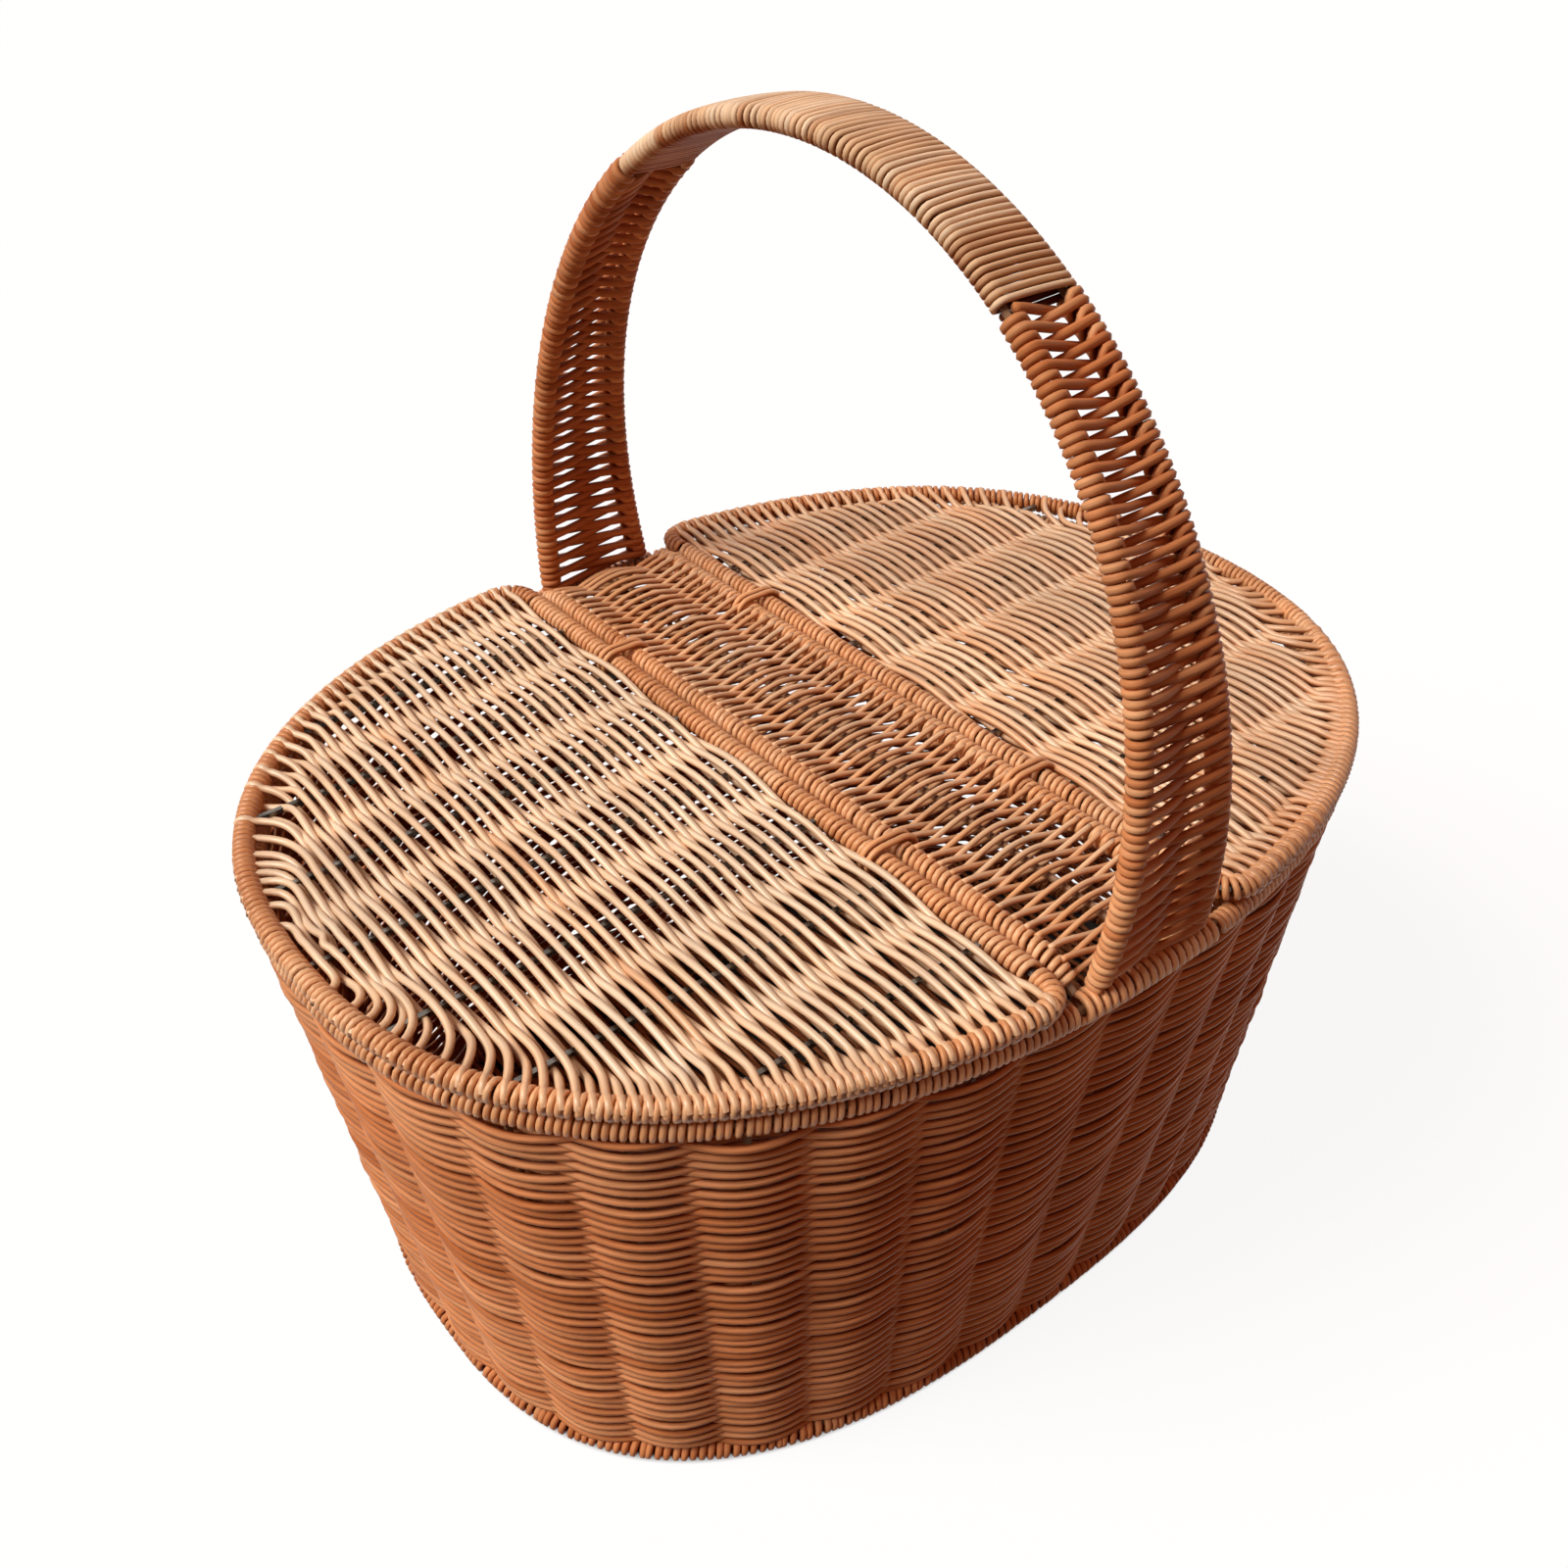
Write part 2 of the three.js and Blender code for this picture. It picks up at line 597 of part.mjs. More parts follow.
// The grip's strand: one unbroken tube wound round both rods from end to end of the grip.
function gripWinding() {
  const line = new HandleLine(0);
  const share = (GRIP_LENGTH - STRAND) / 2 / line.getLength();
  const radius = HANDLE_WIRE / 2 + GRIP_ROOM + STRAND / 2;
  const perTurn = 2 * (WRAP_SIDES / 2 + 1);
  const points = [];
  const leads = [];
  const place = (turn, pick) => {
    const u = 0.5 - share + (2 * share * turn) / GRIP_TURNS;
    const at = line.getPointAt(u);
    const run = line.getTangentAt(u);
    const over = run.clone().cross(ACROSS);
    const [a, b] = pick(handleHalf(at.z));
    points.push(at.addScaledVector(ACROSS, a).addScaledVector(over, b));
    leads.push(run);
  };
  place(0, () => [0, -radius]);
  for (let k = 0; k < GRIP_TURNS * perTurn; k += 1) {
    place((k + 0.5) / perTurn, (half) => longRing(half, radius, WRAP_SIDES / 2)[k % perTurn]);
  }
  place(GRIP_TURNS, () => [0, -radius]);
  console.log(`grip_winding least gap to itself ${leastGap(points, GRIP_TURNS, STRAND).toFixed(2)} mm`);
  return sweep(points, leads, circle(STRAND / 2, STRAND_SIDES));
}

// A hinge tie: one strand wound round a lid's hinge rod and the bridge rod beside it.
function hingeTie(side, y) {
  const half = (HINGE_X - BRIDGE_HALF) / 2;
  const middle = side * (BRIDGE_HALF + half);
  const turn = longRing(half, TIE_PATH, TURN_STEPS);
  const place = (a, b, share) => {
    const along = y + (share - TIE_TURNS / 2) * TIE_PITCH;
    return new THREE.Vector3(middle + a, along, LID_LEVEL + b);
  };
  const points = [place(0, -TIE_PATH, 0)];
  for (let k = 0; k < TIE_TURNS * turn.length; k += 1) {
    const [a, b] = turn[k % turn.length];
    points.push(place(a, b, (k + 0.5) / turn.length));
  }
  points.push(place(0, -TIE_PATH, TIE_TURNS));
  console.log(`hinge_tie least gap to itself ${leastGap(points, TIE_TURNS, STRAND).toFixed(2)} mm`);
  return tube(points, ALONG, STRAND / 2, STRAND_SIDES);
}

// Plan of a lid's rod on its centre line: the hinge run, then round the rim and back.
function lidPlan(side) {
  const cornerY = lidOval.widthAt(HINGE_X);
  const startX = HINGE_X + LID_CORNER;
  const hingeEnd = new THREE.Vector2(HINGE_X, cornerY - LID_CORNER);
  const rimStart = new THREE.Vector2(startX, lidOval.widthAt(startX));
  const bend = new THREE.QuadraticBezierCurve(hingeEnd, new THREE.Vector2(HINGE_X, cornerY), rimStart);
  const corner = bend.getPoints(CORNER_STEPS);
  const from = lidOval.shareAt(startX);
  const share = (i) => from - (2 * from * i) / LID_STEPS;
  const arc = Array.from({ length: LID_STEPS - 1 }, (_, i) => lidOval.at(share(i + 1)));
  const back = corner.map((point) => new THREE.Vector2(point.x, -point.y)).reverse();
  return [...corner, ...arc, ...back].map((point) => new THREE.Vector2(side * point.x, point.y));
}

function lidStakePlaces() {
  const middle = (LID_STAKES - 1) / 2;
  return Array.from({ length: LID_STAKES }, (_, k) => LID_STAKE_SHIFT + (k - middle) * LID_STAKE_PITCH);
}

// Welded wire frame of a lid, every wire thicker by grow: the D-shaped loop and its stakes.
function lidFrame(side, grow) {
  const loop = tube(lifted(lidPlan(side), LID_LEVEL), UP, FRAME_WIRE / 2 + grow, WIRE_SIDES, true);
  const stakes = lidStakePlaces().map((y) => {
    const ends = [HINGE_X, lidOval.lengthAt(y)].map((x) => new THREE.Vector3(side * x, y, LID_LEVEL));
    return tube(ends, UP, STAKE_WIRE / 2 + grow, STAKE_SIDES);
  });
  return joined([loop, ...stakes]);
}

// Triangles that close a ring of two equal rows of points, the second running back over the first.
function stripCap(count) {
  return Array.from({ length: count - 1 }, (_, i) => {
    const over = 2 * count - 1 - i;
    return [[i, i + 1, over - 1], [i, over - 1, over]];
  }).flat();
}

// A lid's woven sheet before it is cut to the loop: strands along Y, in front of a stake on one face where
// they run behind it on the other.
function lidSheet(side) {
  const halfPitch = LID_STAKE_PITCH / 2;
  const reach = Math.ceil((lidOval.halfWidth + Math.abs(LID_STAKE_SHIFT)) / halfPitch);
  const rings = Array.from({ length: 2 * reach + 1 }, (_, i) => {
    const column = i - reach;
    const row = (face, shift) => Array.from({ length: LID_COURSES + 1 }, (__, j) => {
      const x = HINGE_X + ((lidOval.halfLength - HINGE_X) * j) / LID_COURSES;
      const y = LID_STAKE_SHIFT + column * halfPitch;
      return new THREE.Vector3(side * x, y, LID_LEVEL + face * weaveReach(column, j + shift));
    });
    return [...row(-1, 1), ...row(1, 0).reverse()];
  });
  return solidOf(loft(rings, stripCap(LID_COURSES + 1)));
}

// Woven panel of a lid inside its loop, notched at the hinge ties.
function lidWeave(side) {
  const plan = lidPlan(side);
  const depth = WRAP + GAP;
  const inset = plan.map((point, i) => {
    const before = plan[(i + plan.length - 1) % plan.length];
    const after = plan[(i + 1) % plan.length];
    const ahead = point.clone().sub(before).normalize();
    const run = ahead.add(after.clone().sub(point).normalize()).normalize();
    const inward = new THREE.Vector2(side * run.y, -side * run.x);
    return point.clone().addScaledVector(inward, depth);
  });
  const prism = extruded(new THREE.Shape(inset), 2 * LID_LEVEL, standing, new THREE.Vector3());
  const notches = tieNotches(side * HINGE_X, TIE_REACH + TIE_ROOM);
  return lidSheet(side).intersect(prism).subtract(joined(notches)).subtract(lidFrame(side, GAP));
}

// Place along the hinge at which the rim's winding ends and the hinge rod's starts.
function lidHingeReach() {
  return lidOval.widthAt(HINGE_X) - LID_CORNER - STRAND;
}

// Wound strand round a lid's rim rod, open along the stakes.
function lidRimBinding(side) {
  const plan = lidPlan(side);
  const start = plan[0].clone().setY(lidHingeReach());
  const stop = start.clone().setY(-lidHingeReach());
  const section = openSleeve(WRAP, BORE, (side * Math.PI) / 2, SLOT_ANGLE);
  return sweep(lifted([start, ...plan, stop], LID_LEVEL), UP, section);
}

// Wound strand round a lid's hinge rod, open along the stakes.
function lidHingeBinding(side) {
  const end = lidHingeReach() - GAP;
  const run = [-end, end].map((y) => new THREE.Vector3(side * HINGE_X, y, LID_LEVEL));
  return sweep(run, UP, openSleeve(WRAP, BORE, (side * Math.PI) / 2, SLOT_ANGLE));
}

const basket = new THREE.Group();

function addPiece(name, solid, color, roughness, metalness) {
  const mesh = solid.getMesh();
  const positions = [];
  for (let v = 0; v < mesh.vertProperties.length; v += mesh.numProp) {
    positions.push(mesh.vertProperties[v], mesh.vertProperties[v + 1], mesh.vertProperties[v + 2]);
  }
  const geometry = new THREE.BufferGeometry();
  geometry.setAttribute('position', new THREE.Float32BufferAttribute(positions, 3));
  geometry.setIndex([...mesh.triVerts]);
  geometry.computeVertexNormals();
  const piece = new THREE.Mesh(geometry, new THREE.MeshStandardMaterial({ color, roughness, metalness }));
  piece.name = name;
  basket.add(piece);
}

function addWire(name, solid) {
  addPiece(name, solid, WIRE_BROWN, WIRE_ROUGHNESS, WIRE_METALNESS);
}

function addStrand(name, solid, color) {
  addPiece(name, solid, color, STRAND_ROUGHNESS, 0);
}

addWire('body_wire_cage', cage(0));
addStrand('side_weave', sideWeave(), STRAND_CARAMEL);
addStrand('base_weave', baseWeave(), STRAND_CARAMEL);
addStrand('base_binding', baseBinding(), STRAND_CARAMEL);
addStrand('rim_binding_left', rimBinding(-1), STRAND_CARAMEL);
addStrand('rim_binding_right', rimBinding(1), STRAND_CARAMEL);
addStrand('bridge_end_binding_front', bridgeEndBinding(-1), STRAND_CARAMEL);
addStrand('bridge_end_binding_back', bridgeEndBinding(1), STRAND_CARAMEL);

addWire('bridge_rod_left', bridgeRod(-1, 0));
addWire('bridge_rod_right', bridgeRod(1, 0));
addWire('bridge_middle_wire', bridgeWire(0));
addStrand('bridge_weave', bridgeWeave(), STRAND_RUSSET);
addStrand('bridge_edge_binding_left', bridgeEdgeBinding(-1), STRAND_CARAMEL);
addStrand('bridge_edge_binding_right', bridgeEdgeBinding(1), STRAND_CARAMEL);

addWire('handle_rod_left', handleRod(-1, 0));
addWire('handle_rod_right', handleRod(1, 0));
addStrand('handle_web_front', handleWeb(-1), STRAND_RUSSET);
addStrand('handle_web_back', handleWeb(1), STRAND_RUSSET);
addStrand('handle_web_top', handleWebTop(), STRAND_RUSSET);
addStrand('handle_edge_binding_front_left', handleEdgeBinding(-1, -1), STRAND_CARAMEL);
addStrand('handle_edge_binding_front_right', handleEdgeBinding(1, -1), STRAND_CARAMEL);
addStrand('handle_edge_binding_back_left', handleEdgeBinding(-1, 1), STRAND_CARAMEL);
addStrand('handle_edge_binding_back_right', handleEdgeBinding(1, 1), STRAND_CARAMEL);
addStrand('grip_winding', gripWinding(), STRAND_CARAMEL);

addStrand('hinge_tie_left_front', hingeTie(-1, TIE_FRONT), STRAND_RUSSET);
addStrand('hinge_tie_left_back', hingeTie(-1, TIE_BACK), STRAND_RUSSET);
addStrand('hinge_tie_right_front', hingeTie(1, TIE_FRONT), STRAND_RUSSET);
addStrand('hinge_tie_right_back', hingeTie(1, TIE_BACK), STRAND_RUSSET);

for (const [word, side] of [['left', -1], ['right', 1]]) {
  addWire(`lid_${word}_wire_frame`, lidFrame(side, 0));
  addStrand(`lid_${word}_weave`, lidWeave(side), STRAND_TAN);
  addStrand(`lid_${word}_rim_binding`, lidRimBinding(side), STRAND_TAN);
  addStrand(`lid_${word}_hinge_binding`, lidHingeBinding(side), STRAND_TAN);
}

export default basket;
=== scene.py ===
"""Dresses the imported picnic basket: every woven panel and wound rod becomes real round strand.

The tub, bridge, handle, lids and hinge ties are classes that hold their sizes in millimetres and lay
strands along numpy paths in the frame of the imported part. X runs along the oval, Y along the bridge and
the hinge lines, Z up, with the origin on the floor.
"""

import logging
import math
from dataclasses import dataclass, field
from enum import Enum
from typing import ClassVar

import bpy
import numpy as np
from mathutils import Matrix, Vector


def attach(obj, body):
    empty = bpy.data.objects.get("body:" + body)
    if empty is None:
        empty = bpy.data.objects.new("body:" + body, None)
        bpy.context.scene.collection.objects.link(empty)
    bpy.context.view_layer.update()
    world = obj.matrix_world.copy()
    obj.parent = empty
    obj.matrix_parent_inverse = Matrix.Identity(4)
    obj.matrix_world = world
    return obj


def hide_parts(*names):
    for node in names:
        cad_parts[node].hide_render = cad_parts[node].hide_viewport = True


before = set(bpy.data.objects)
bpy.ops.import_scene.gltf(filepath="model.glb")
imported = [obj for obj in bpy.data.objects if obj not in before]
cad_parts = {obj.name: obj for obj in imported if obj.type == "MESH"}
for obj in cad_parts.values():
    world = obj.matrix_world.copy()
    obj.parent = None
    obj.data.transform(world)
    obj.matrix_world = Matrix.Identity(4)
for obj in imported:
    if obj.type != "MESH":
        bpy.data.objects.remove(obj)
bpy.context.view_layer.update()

log = logging.getLogger("picnic_basket")
MM = 0.001
UP = np.array([0.0, 0.0, 1.0])
ACROSS = np.array([1.0, 0.0, 0.0])
WHITE = (1.0, 1.0, 1.0, 1.0)
TOP_LEVEL = 194.0
BRIDGE_HALF = 26.5
HINGE_X = 35.0
FOOT_Y = 147.13

Triple = tuple[float, float, float]
Color = Triple
Pair = tuple[float, float]
Span = Pair
Fade = tuple[tuple[float, ...], tuple[float, ...]]
Drifts = tuple[tuple[float, tuple[float, ...]], ...]


class Side(Enum):
    """The two halves of the basket, left of the bridge and right of it."""

    LEFT = -1
    RIGHT = 1

    @property
    def word(self) -> str:
        """The side's word in node names."""
        return self.name.lower()

    @property
    def share(self) -> float:
        """Share of the way round an oval at which the side's tip lies."""
        return 0.0 if self is Side.RIGHT else 0.5


class End(Enum):
    """The two ends of the bridge."""

    FRONT = -1
    BACK = 1

    @property
    def word(self) -> str:
        """The end's word in node names."""
        return self.name.lower()

    @property
    def share(self) -> float:
        """Share of the way round an oval at which the end lies."""
        return 0.25 if self is End.BACK else 0.75


@dataclass(frozen=True)
class Stock:
    """Diameters of the strand and the wires in millimetres, and how a close winding lies."""

    strand: float = 2.3
    frame_wire: float = 3.0
    handle_wire: float = 2.4
    turn_pitch: float = 2.48
    turn_slip: float = 0.09
    turn_stray: Drifts = ((1.0, (0.6,)),)
    turn_shade: Drifts = ((0.6, (0.5,)), (0.5, (9.0,)))
    turn_points: int = 10
    size_lag: int = 5
    size_stray: float = 0.05
    slack: float = 0.08
    fine: float = 2.4
    fine_pitch: float = 2.7
    fine_fade: Fade = ((0.0, 1.0), (0.7, 0.7))

    @staticmethod
    def path_radius(wire: float, strand: float) -> float:
        """Radius of a strand's centre line round a wire that it touches."""
        return (wire + strand) / 2


STOCK = Stock()


def unit(vectors: np.ndarray) -> np.ndarray:
    """Vectors divided by their length along the last axis."""
    return vectors / np.maximum(np.linalg.norm(vectors, axis=-1, keepdims=True), 1e-12)


def smooth_step(values: np.ndarray) -> np.ndarray:
    """Three v squared minus two v cubed, with v held between 0 and 1."""
    held = np.clip(values, 0.0, 1.0)
    return held * held * (3.0 - 2.0 * held)


def alternate(count: int) -> np.ndarray:
    """1 and -1 by turns."""
    return np.where(np.arange(count) % 2 == 0, 1.0, -1.0)


def raised(plan: np.ndarray, level: np.ndarray | float) -> np.ndarray:
    """Points or vectors in plan, with a height as their third value."""
    return np.concatenate([plan, np.broadcast_to(level, plan.shape[:-1])[..., None]], axis=-1)


def eased(turn: np.ndarray, values: np.ndarray) -> np.ndarray:
    """Values that are given at whole turns, read in between by linear interpolation."""
    return np.interp(turn, np.arange(len(values)), values)


def drift(rng: np.random.Generator, shape: tuple[int, ...], reach: tuple[float, ...]) -> np.ndarray:
    """Even random drift: white noise low-passed by a Gaussian in frequency, scaled to unit spread.

    Args:
        rng: Seeded source of the noise.
        shape: Size of the field.
        reach: Length, in samples, over which the drift stays alike, for each axis.

    Returns:
        The field, which closes on itself along every axis.
    """
    spectrum = np.fft.fftn(rng.standard_normal(shape))
    for axis, (count, length) in enumerate(zip(shape, reach)):
        frequency = np.fft.fftfreq(count)
        weight = np.exp(-0.5 * (2.0 * math.pi * frequency * length) ** 2 / 2.0)
        spectrum *= weight.reshape([-1 if i == axis else 1 for i in range(len(shape))])
    noise = np.fft.ifftn(spectrum).real
    return noise / max(float(noise.std()), 1e-9)


def drifts(rng: np.random.Generator, shape: tuple[int, ...], parts: Drifts) -> np.ndarray:
    """Sum of several drifts.

    Args:
        rng: Seeded source of the noise.
        shape: Size of the field.
        parts: Spread of each drift and its reach along every axis.

    Returns:
        The field.
    """
    return sum((spread * drift(rng, shape, reach) for spread, reach in parts), start=np.zeros(shape))


@dataclass
class Oval:
    """A superellipse in plan, walked by the share of its length.

    Its points are half_length sgn(c) |c|^(2/power) and half_width sgn(s) |s|^(2/power), where c and s
    are the cosine and sine of an angle. A share of 0 is at +X, 0.25 at +Y.
    """

    half_length: float
    half_width: float
    power: float
    samples: int = 6000

    def __post_init__(self) -> None:
        """Samples the outline and its length."""
        angle = np.linspace(0.0, 2.0 * math.pi, self.samples + 1)
        c, s = np.cos(angle), np.sin(angle)
        x = self.half_length * np.sign(c) * np.abs(c) ** (2.0 / self.power)
        y = self.half_width * np.sign(s) * np.abs(s) ** (2.0 / self.power)
        self._outline = np.stack([x, y], axis=-1)
        steps = np.linalg.norm(np.diff(self._outline, axis=0), axis=-1)
        self._lengths = np.concatenate([[0.0], np.cumsum(steps)])

    @property
    def length(self) -> float:
        """Length of the whole outline."""
        return float(self._lengths[-1])

    def at(self, share: np.ndarray) -> np.ndarray:
        """Points at shares of the length, by linear interpolation along the outline."""
        reach = np.mod(share, 1.0) * self.length
        x = np.interp(reach, self._lengths, self._outline[:, 0])
        y = np.interp(reach, self._lengths, self._outline[:, 1])
        return np.stack([x, y], axis=-1)

    def out(self, points: np.ndarray) -> np.ndarray:
        """Outward unit normals: the gradient of |x/a|^p + |y/b|^p."""
        halves = np.array([self.half_length, self.half_width])
        return unit(np.sign(points) * np.abs(points / halves) ** (self.power - 1.0) / halves)

    def width_at(self, x: np.ndarray) -> np.ndarray:
        """Half width of the outline at x."""
        rest = np.clip(1.0 - np.abs(x / self.half_length) ** self.power, 0.0, 1.0)
        return self.half_width * rest ** (1.0 / self.power)

    def share_at(self, x: float) -> float:
        """Share of the length, in the first quarter, at which the outline is x away from the middle."""
        quarter = self.samples // 4
        xs = self._outline[: quarter + 1, 0][::-1]
        return float(np.interp(x, xs, self._lengths[: quarter + 1][::-1])) / self.length

    def inset(self, depth: float) -> "Oval":
        """The oval with both half axes less by depth."""
        return Oval(self.half_length - depth, self.half_width - depth, self.power)


@dataclass
class Rod:
    """A rod's centre line with two unit vectors square to it, out and up, that span its section.

    Each of the two may be given once for the whole line.
    """

    line: np.ndarray
    out: np.ndarray
    up: np.ndarray

    def __post_init__(self) -> None:
        """Spreads out and up over the line and measures the length along it."""
        self.out, self.up = (np.broadcast_to(way, self.line.shape) for way in (self.out, self.up))
        steps = np.linalg.norm(np.diff(self.line, axis=0), axis=-1)
        self._lengths = np.concatenate([[0.0], np.cumsum(steps)])

    @property
    def length(self) -> float:
        """Length of the line."""
        return float(self._lengths[-1])

    def at(self, reach: np.ndarray) -> tuple[np.ndarray, np.ndarray, np.ndarray]:
        """Place, out and up at lengths along the line.

        Args:
            reach: Lengths from the start of the line.

        Returns:
            Three arrays of the shape of reach with one more axis of 3.
        """
        def read(values: np.ndarray) -> np.ndarray:
            """One vector field read at the lengths."""
            return np.stack([np.interp(reach, self._lengths, values[:, i]) for i in range(3)], axis=-1)

        return read(self.line), unit(read(self.out)), unit(read(self.up))


@dataclass
class StrandMesh:
    """Round strands swept along paths and gathered into one mesh.

    A ring of points stands square to the path at every path point: point plus radius times (cosine of
    the angle times the first direction plus sine times the second), where the first is the lead vector
    made square to the run and the second is the run crossed with the first. The map is the length along
    the strand in centimetres, shifted from strand to strand, and the share of the way round the ring.
    """

    map_scale: ClassVar[float] = 0.1
    map_shift: ClassVar[float] = 7.31
    map_range: ClassVar[float] = 41.0
    name: str
    sides: int = 6
    _points: list[np.ndarray] = field(default_factory=list)
    _faces: list[np.ndarray] = field(default_factory=list)
    _uvs: list[np.ndarray] = field(default_factory=list)
    _tones: list[np.ndarray] = field(default_factory=list)
    _count: int = 0

    def add(self, paths: np.ndarray, leads: np.ndarray, tone: np.ndarray, radius: float | np.ndarray,
            closed: bool = False) -> None:
        """Sweeps a set of strands that have the same number of points.

        Args:
            paths: Centre lines, strands by points by 3, in millimetres.
            leads: Vectors that show where each ring starts, of a shape that broadcasts to paths.
            tone: Shade of the strand, broadcast to strands by points.
            radius: Strand radius, broadcast to strands by points.
            closed: True if each strand runs back into its own start.
        """
        strands, count = paths.shape[:2]
        if closed:
            run = np.roll(paths, -1, axis=1) - np.roll(paths, 1, axis=1)
        else:
            run = np.gradient(paths, axis=1)
        run = unit(run)
        lead = np.broadcast_to(leads, paths.shape)
        first = unit(lead - run * np.sum(lead * run, axis=-1, keepdims=True))
        second = np.cross(run, first)
        angle = (np.arange(self.sides) + 0.5) / self.sides * 2.0 * math.pi
        thick = np.broadcast_to(radius, (strands, count))[..., None, None]
        ring = np.cos(angle)[:, None] * first[:, :, None, :] + np.sin(angle)[:, None] * second[:, :, None, :]
        points = paths[:, :, None, :] + thick * ring
        steps = np.linalg.norm(np.diff(paths, axis=1), axis=-1)
        length = np.concatenate([np.zeros((strands, 1)), np.cumsum(steps, axis=1)], axis=1) * self.map_scale
        length += (np.arange(strands) * self.map_shift % self.map_range)[:, None]
        self._points.append(points.reshape(-1, 3))
        shade = np.broadcast_to(tone, (strands, count))
        self._tones.append(np.repeat(shade.reshape(-1), self.sides))
        index = np.arange(strands * count * self.sides).reshape(strands, count, self.sides) + self._count
        self._skin(index, length, closed)
        if not closed:
            self._caps(index, length)
        self._count += points.size // 3

    def _skin(self, index: np.ndarray, length: np.ndarray, closed: bool) -> None:
        """Adds the quads between neighbouring rings, with length and angle as the map.

        Args:
            index: Point numbers, strands by points by sides.
            length: Length along each strand at its points.
            closed: True if the last ring joins the first.
        """
        here = index if closed else index[:, :-1]
        onward = np.roll(index, -1, axis=1) if closed else index[:, 1:]
        quads = np.stack([here, np.roll(here, -1, axis=2), np.roll(onward, -1, axis=2), onward], axis=-1)
        start = length if closed else length[:, :-1]
        step = np.diff(length, axis=1)
        stop = start + (np.concatenate([step, step[:, -1:]], axis=1) if closed else step)
        side = (np.arange(self.sides) + 0.5) / self.sides
        after = side + 1 / self.sides
        u = np.broadcast_to(np.stack([start, start, stop, stop], axis=-1)[:, :, None, :], quads.shape)
        v = np.broadcast_to(np.stack([side, after, after, side], axis=-1), quads.shape)
        self._faces.append(quads.reshape(-1, 4))
        self._uvs.append(np.stack([u, v], axis=-1).reshape(-1, 2))

    def _caps(self, index: np.ndarray, length: np.ndarray) -> None:
        """Closes both ends of every strand with a fan of quads from ring point 0.

        Args:
            index: Point numbers, strands by points by sides.
            length: Length along each strand at its points.
        """
        turn = np.arange(1, self.sides - 2, 2)
        fan = np.stack([np.zeros_like(turn), turn, turn + 1, turn + 2], axis=-1)
        ends = ((index[:, 0], length[:, 0], fan[:, ::-1]), (index[:, -1], length[:, -1], fan))
        for ring, at, order in ends:
            quads = ring[:, order]
            self._faces.append(quads.reshape(-1, 4))
            u = np.broadcast_to(at[:, None, None], quads.shape)
            v = np.broadcast_to((order + 0.5) / self.sides, quads.shape)
            self._uvs.append(np.stack([u, v], axis=-1).reshape(-1, 2))

    def piece(self, finish: "StrandFinish", body: str, *nodes: str) -> None:
        """Makes the object, at the origin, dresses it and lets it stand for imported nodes.

        Args:
            finish: Finish of the strand.
            body: Body that the piece rides on.
            nodes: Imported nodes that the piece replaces.
        """
        points = np.concatenate(self._points) * MM
        faces = np.concatenate(self._faces)
        mesh = bpy.data.meshes.new(self.name)
        mesh.vertices.add(len(points))
        mesh.vertices.foreach_set("co", points.astype(np.float32).ravel())
        mesh.loops.add(faces.size)
        mesh.loops.foreach_set("vertex_index", faces.astype(np.int32).ravel())
        mesh.polygons.add(len(faces))
        mesh.polygons.foreach_set("loop_start", np.arange(0, faces.size, 4, dtype=np.int32))
        mesh.update(calc_edges=True)
        mesh.polygons.foreach_set("use_smooth", np.ones(len(faces), dtype=bool))
        strand_map = mesh.uv_layers.new(name="strand_map")
        strand_map.data.foreach_set("uv", np.concatenate(self._uvs).astype(np.float32).ravel())
        tone = mesh.attributes.new("tone", "FLOAT", "POINT")
        tone.data.foreach_set("value", np.concatenate(self._tones).astype(np.float32))
        mesh.validate()
        piece = bpy.data.objects.new(self.name, mesh)
        bpy.context.scene.collection.objects.link(piece)
        mesh.materials.append(finish.material())
        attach(piece, body)
        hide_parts(*nodes)
        log.info("%s: %d faces on %s for %s", self.name, len(faces), body, ", ".join(nodes))


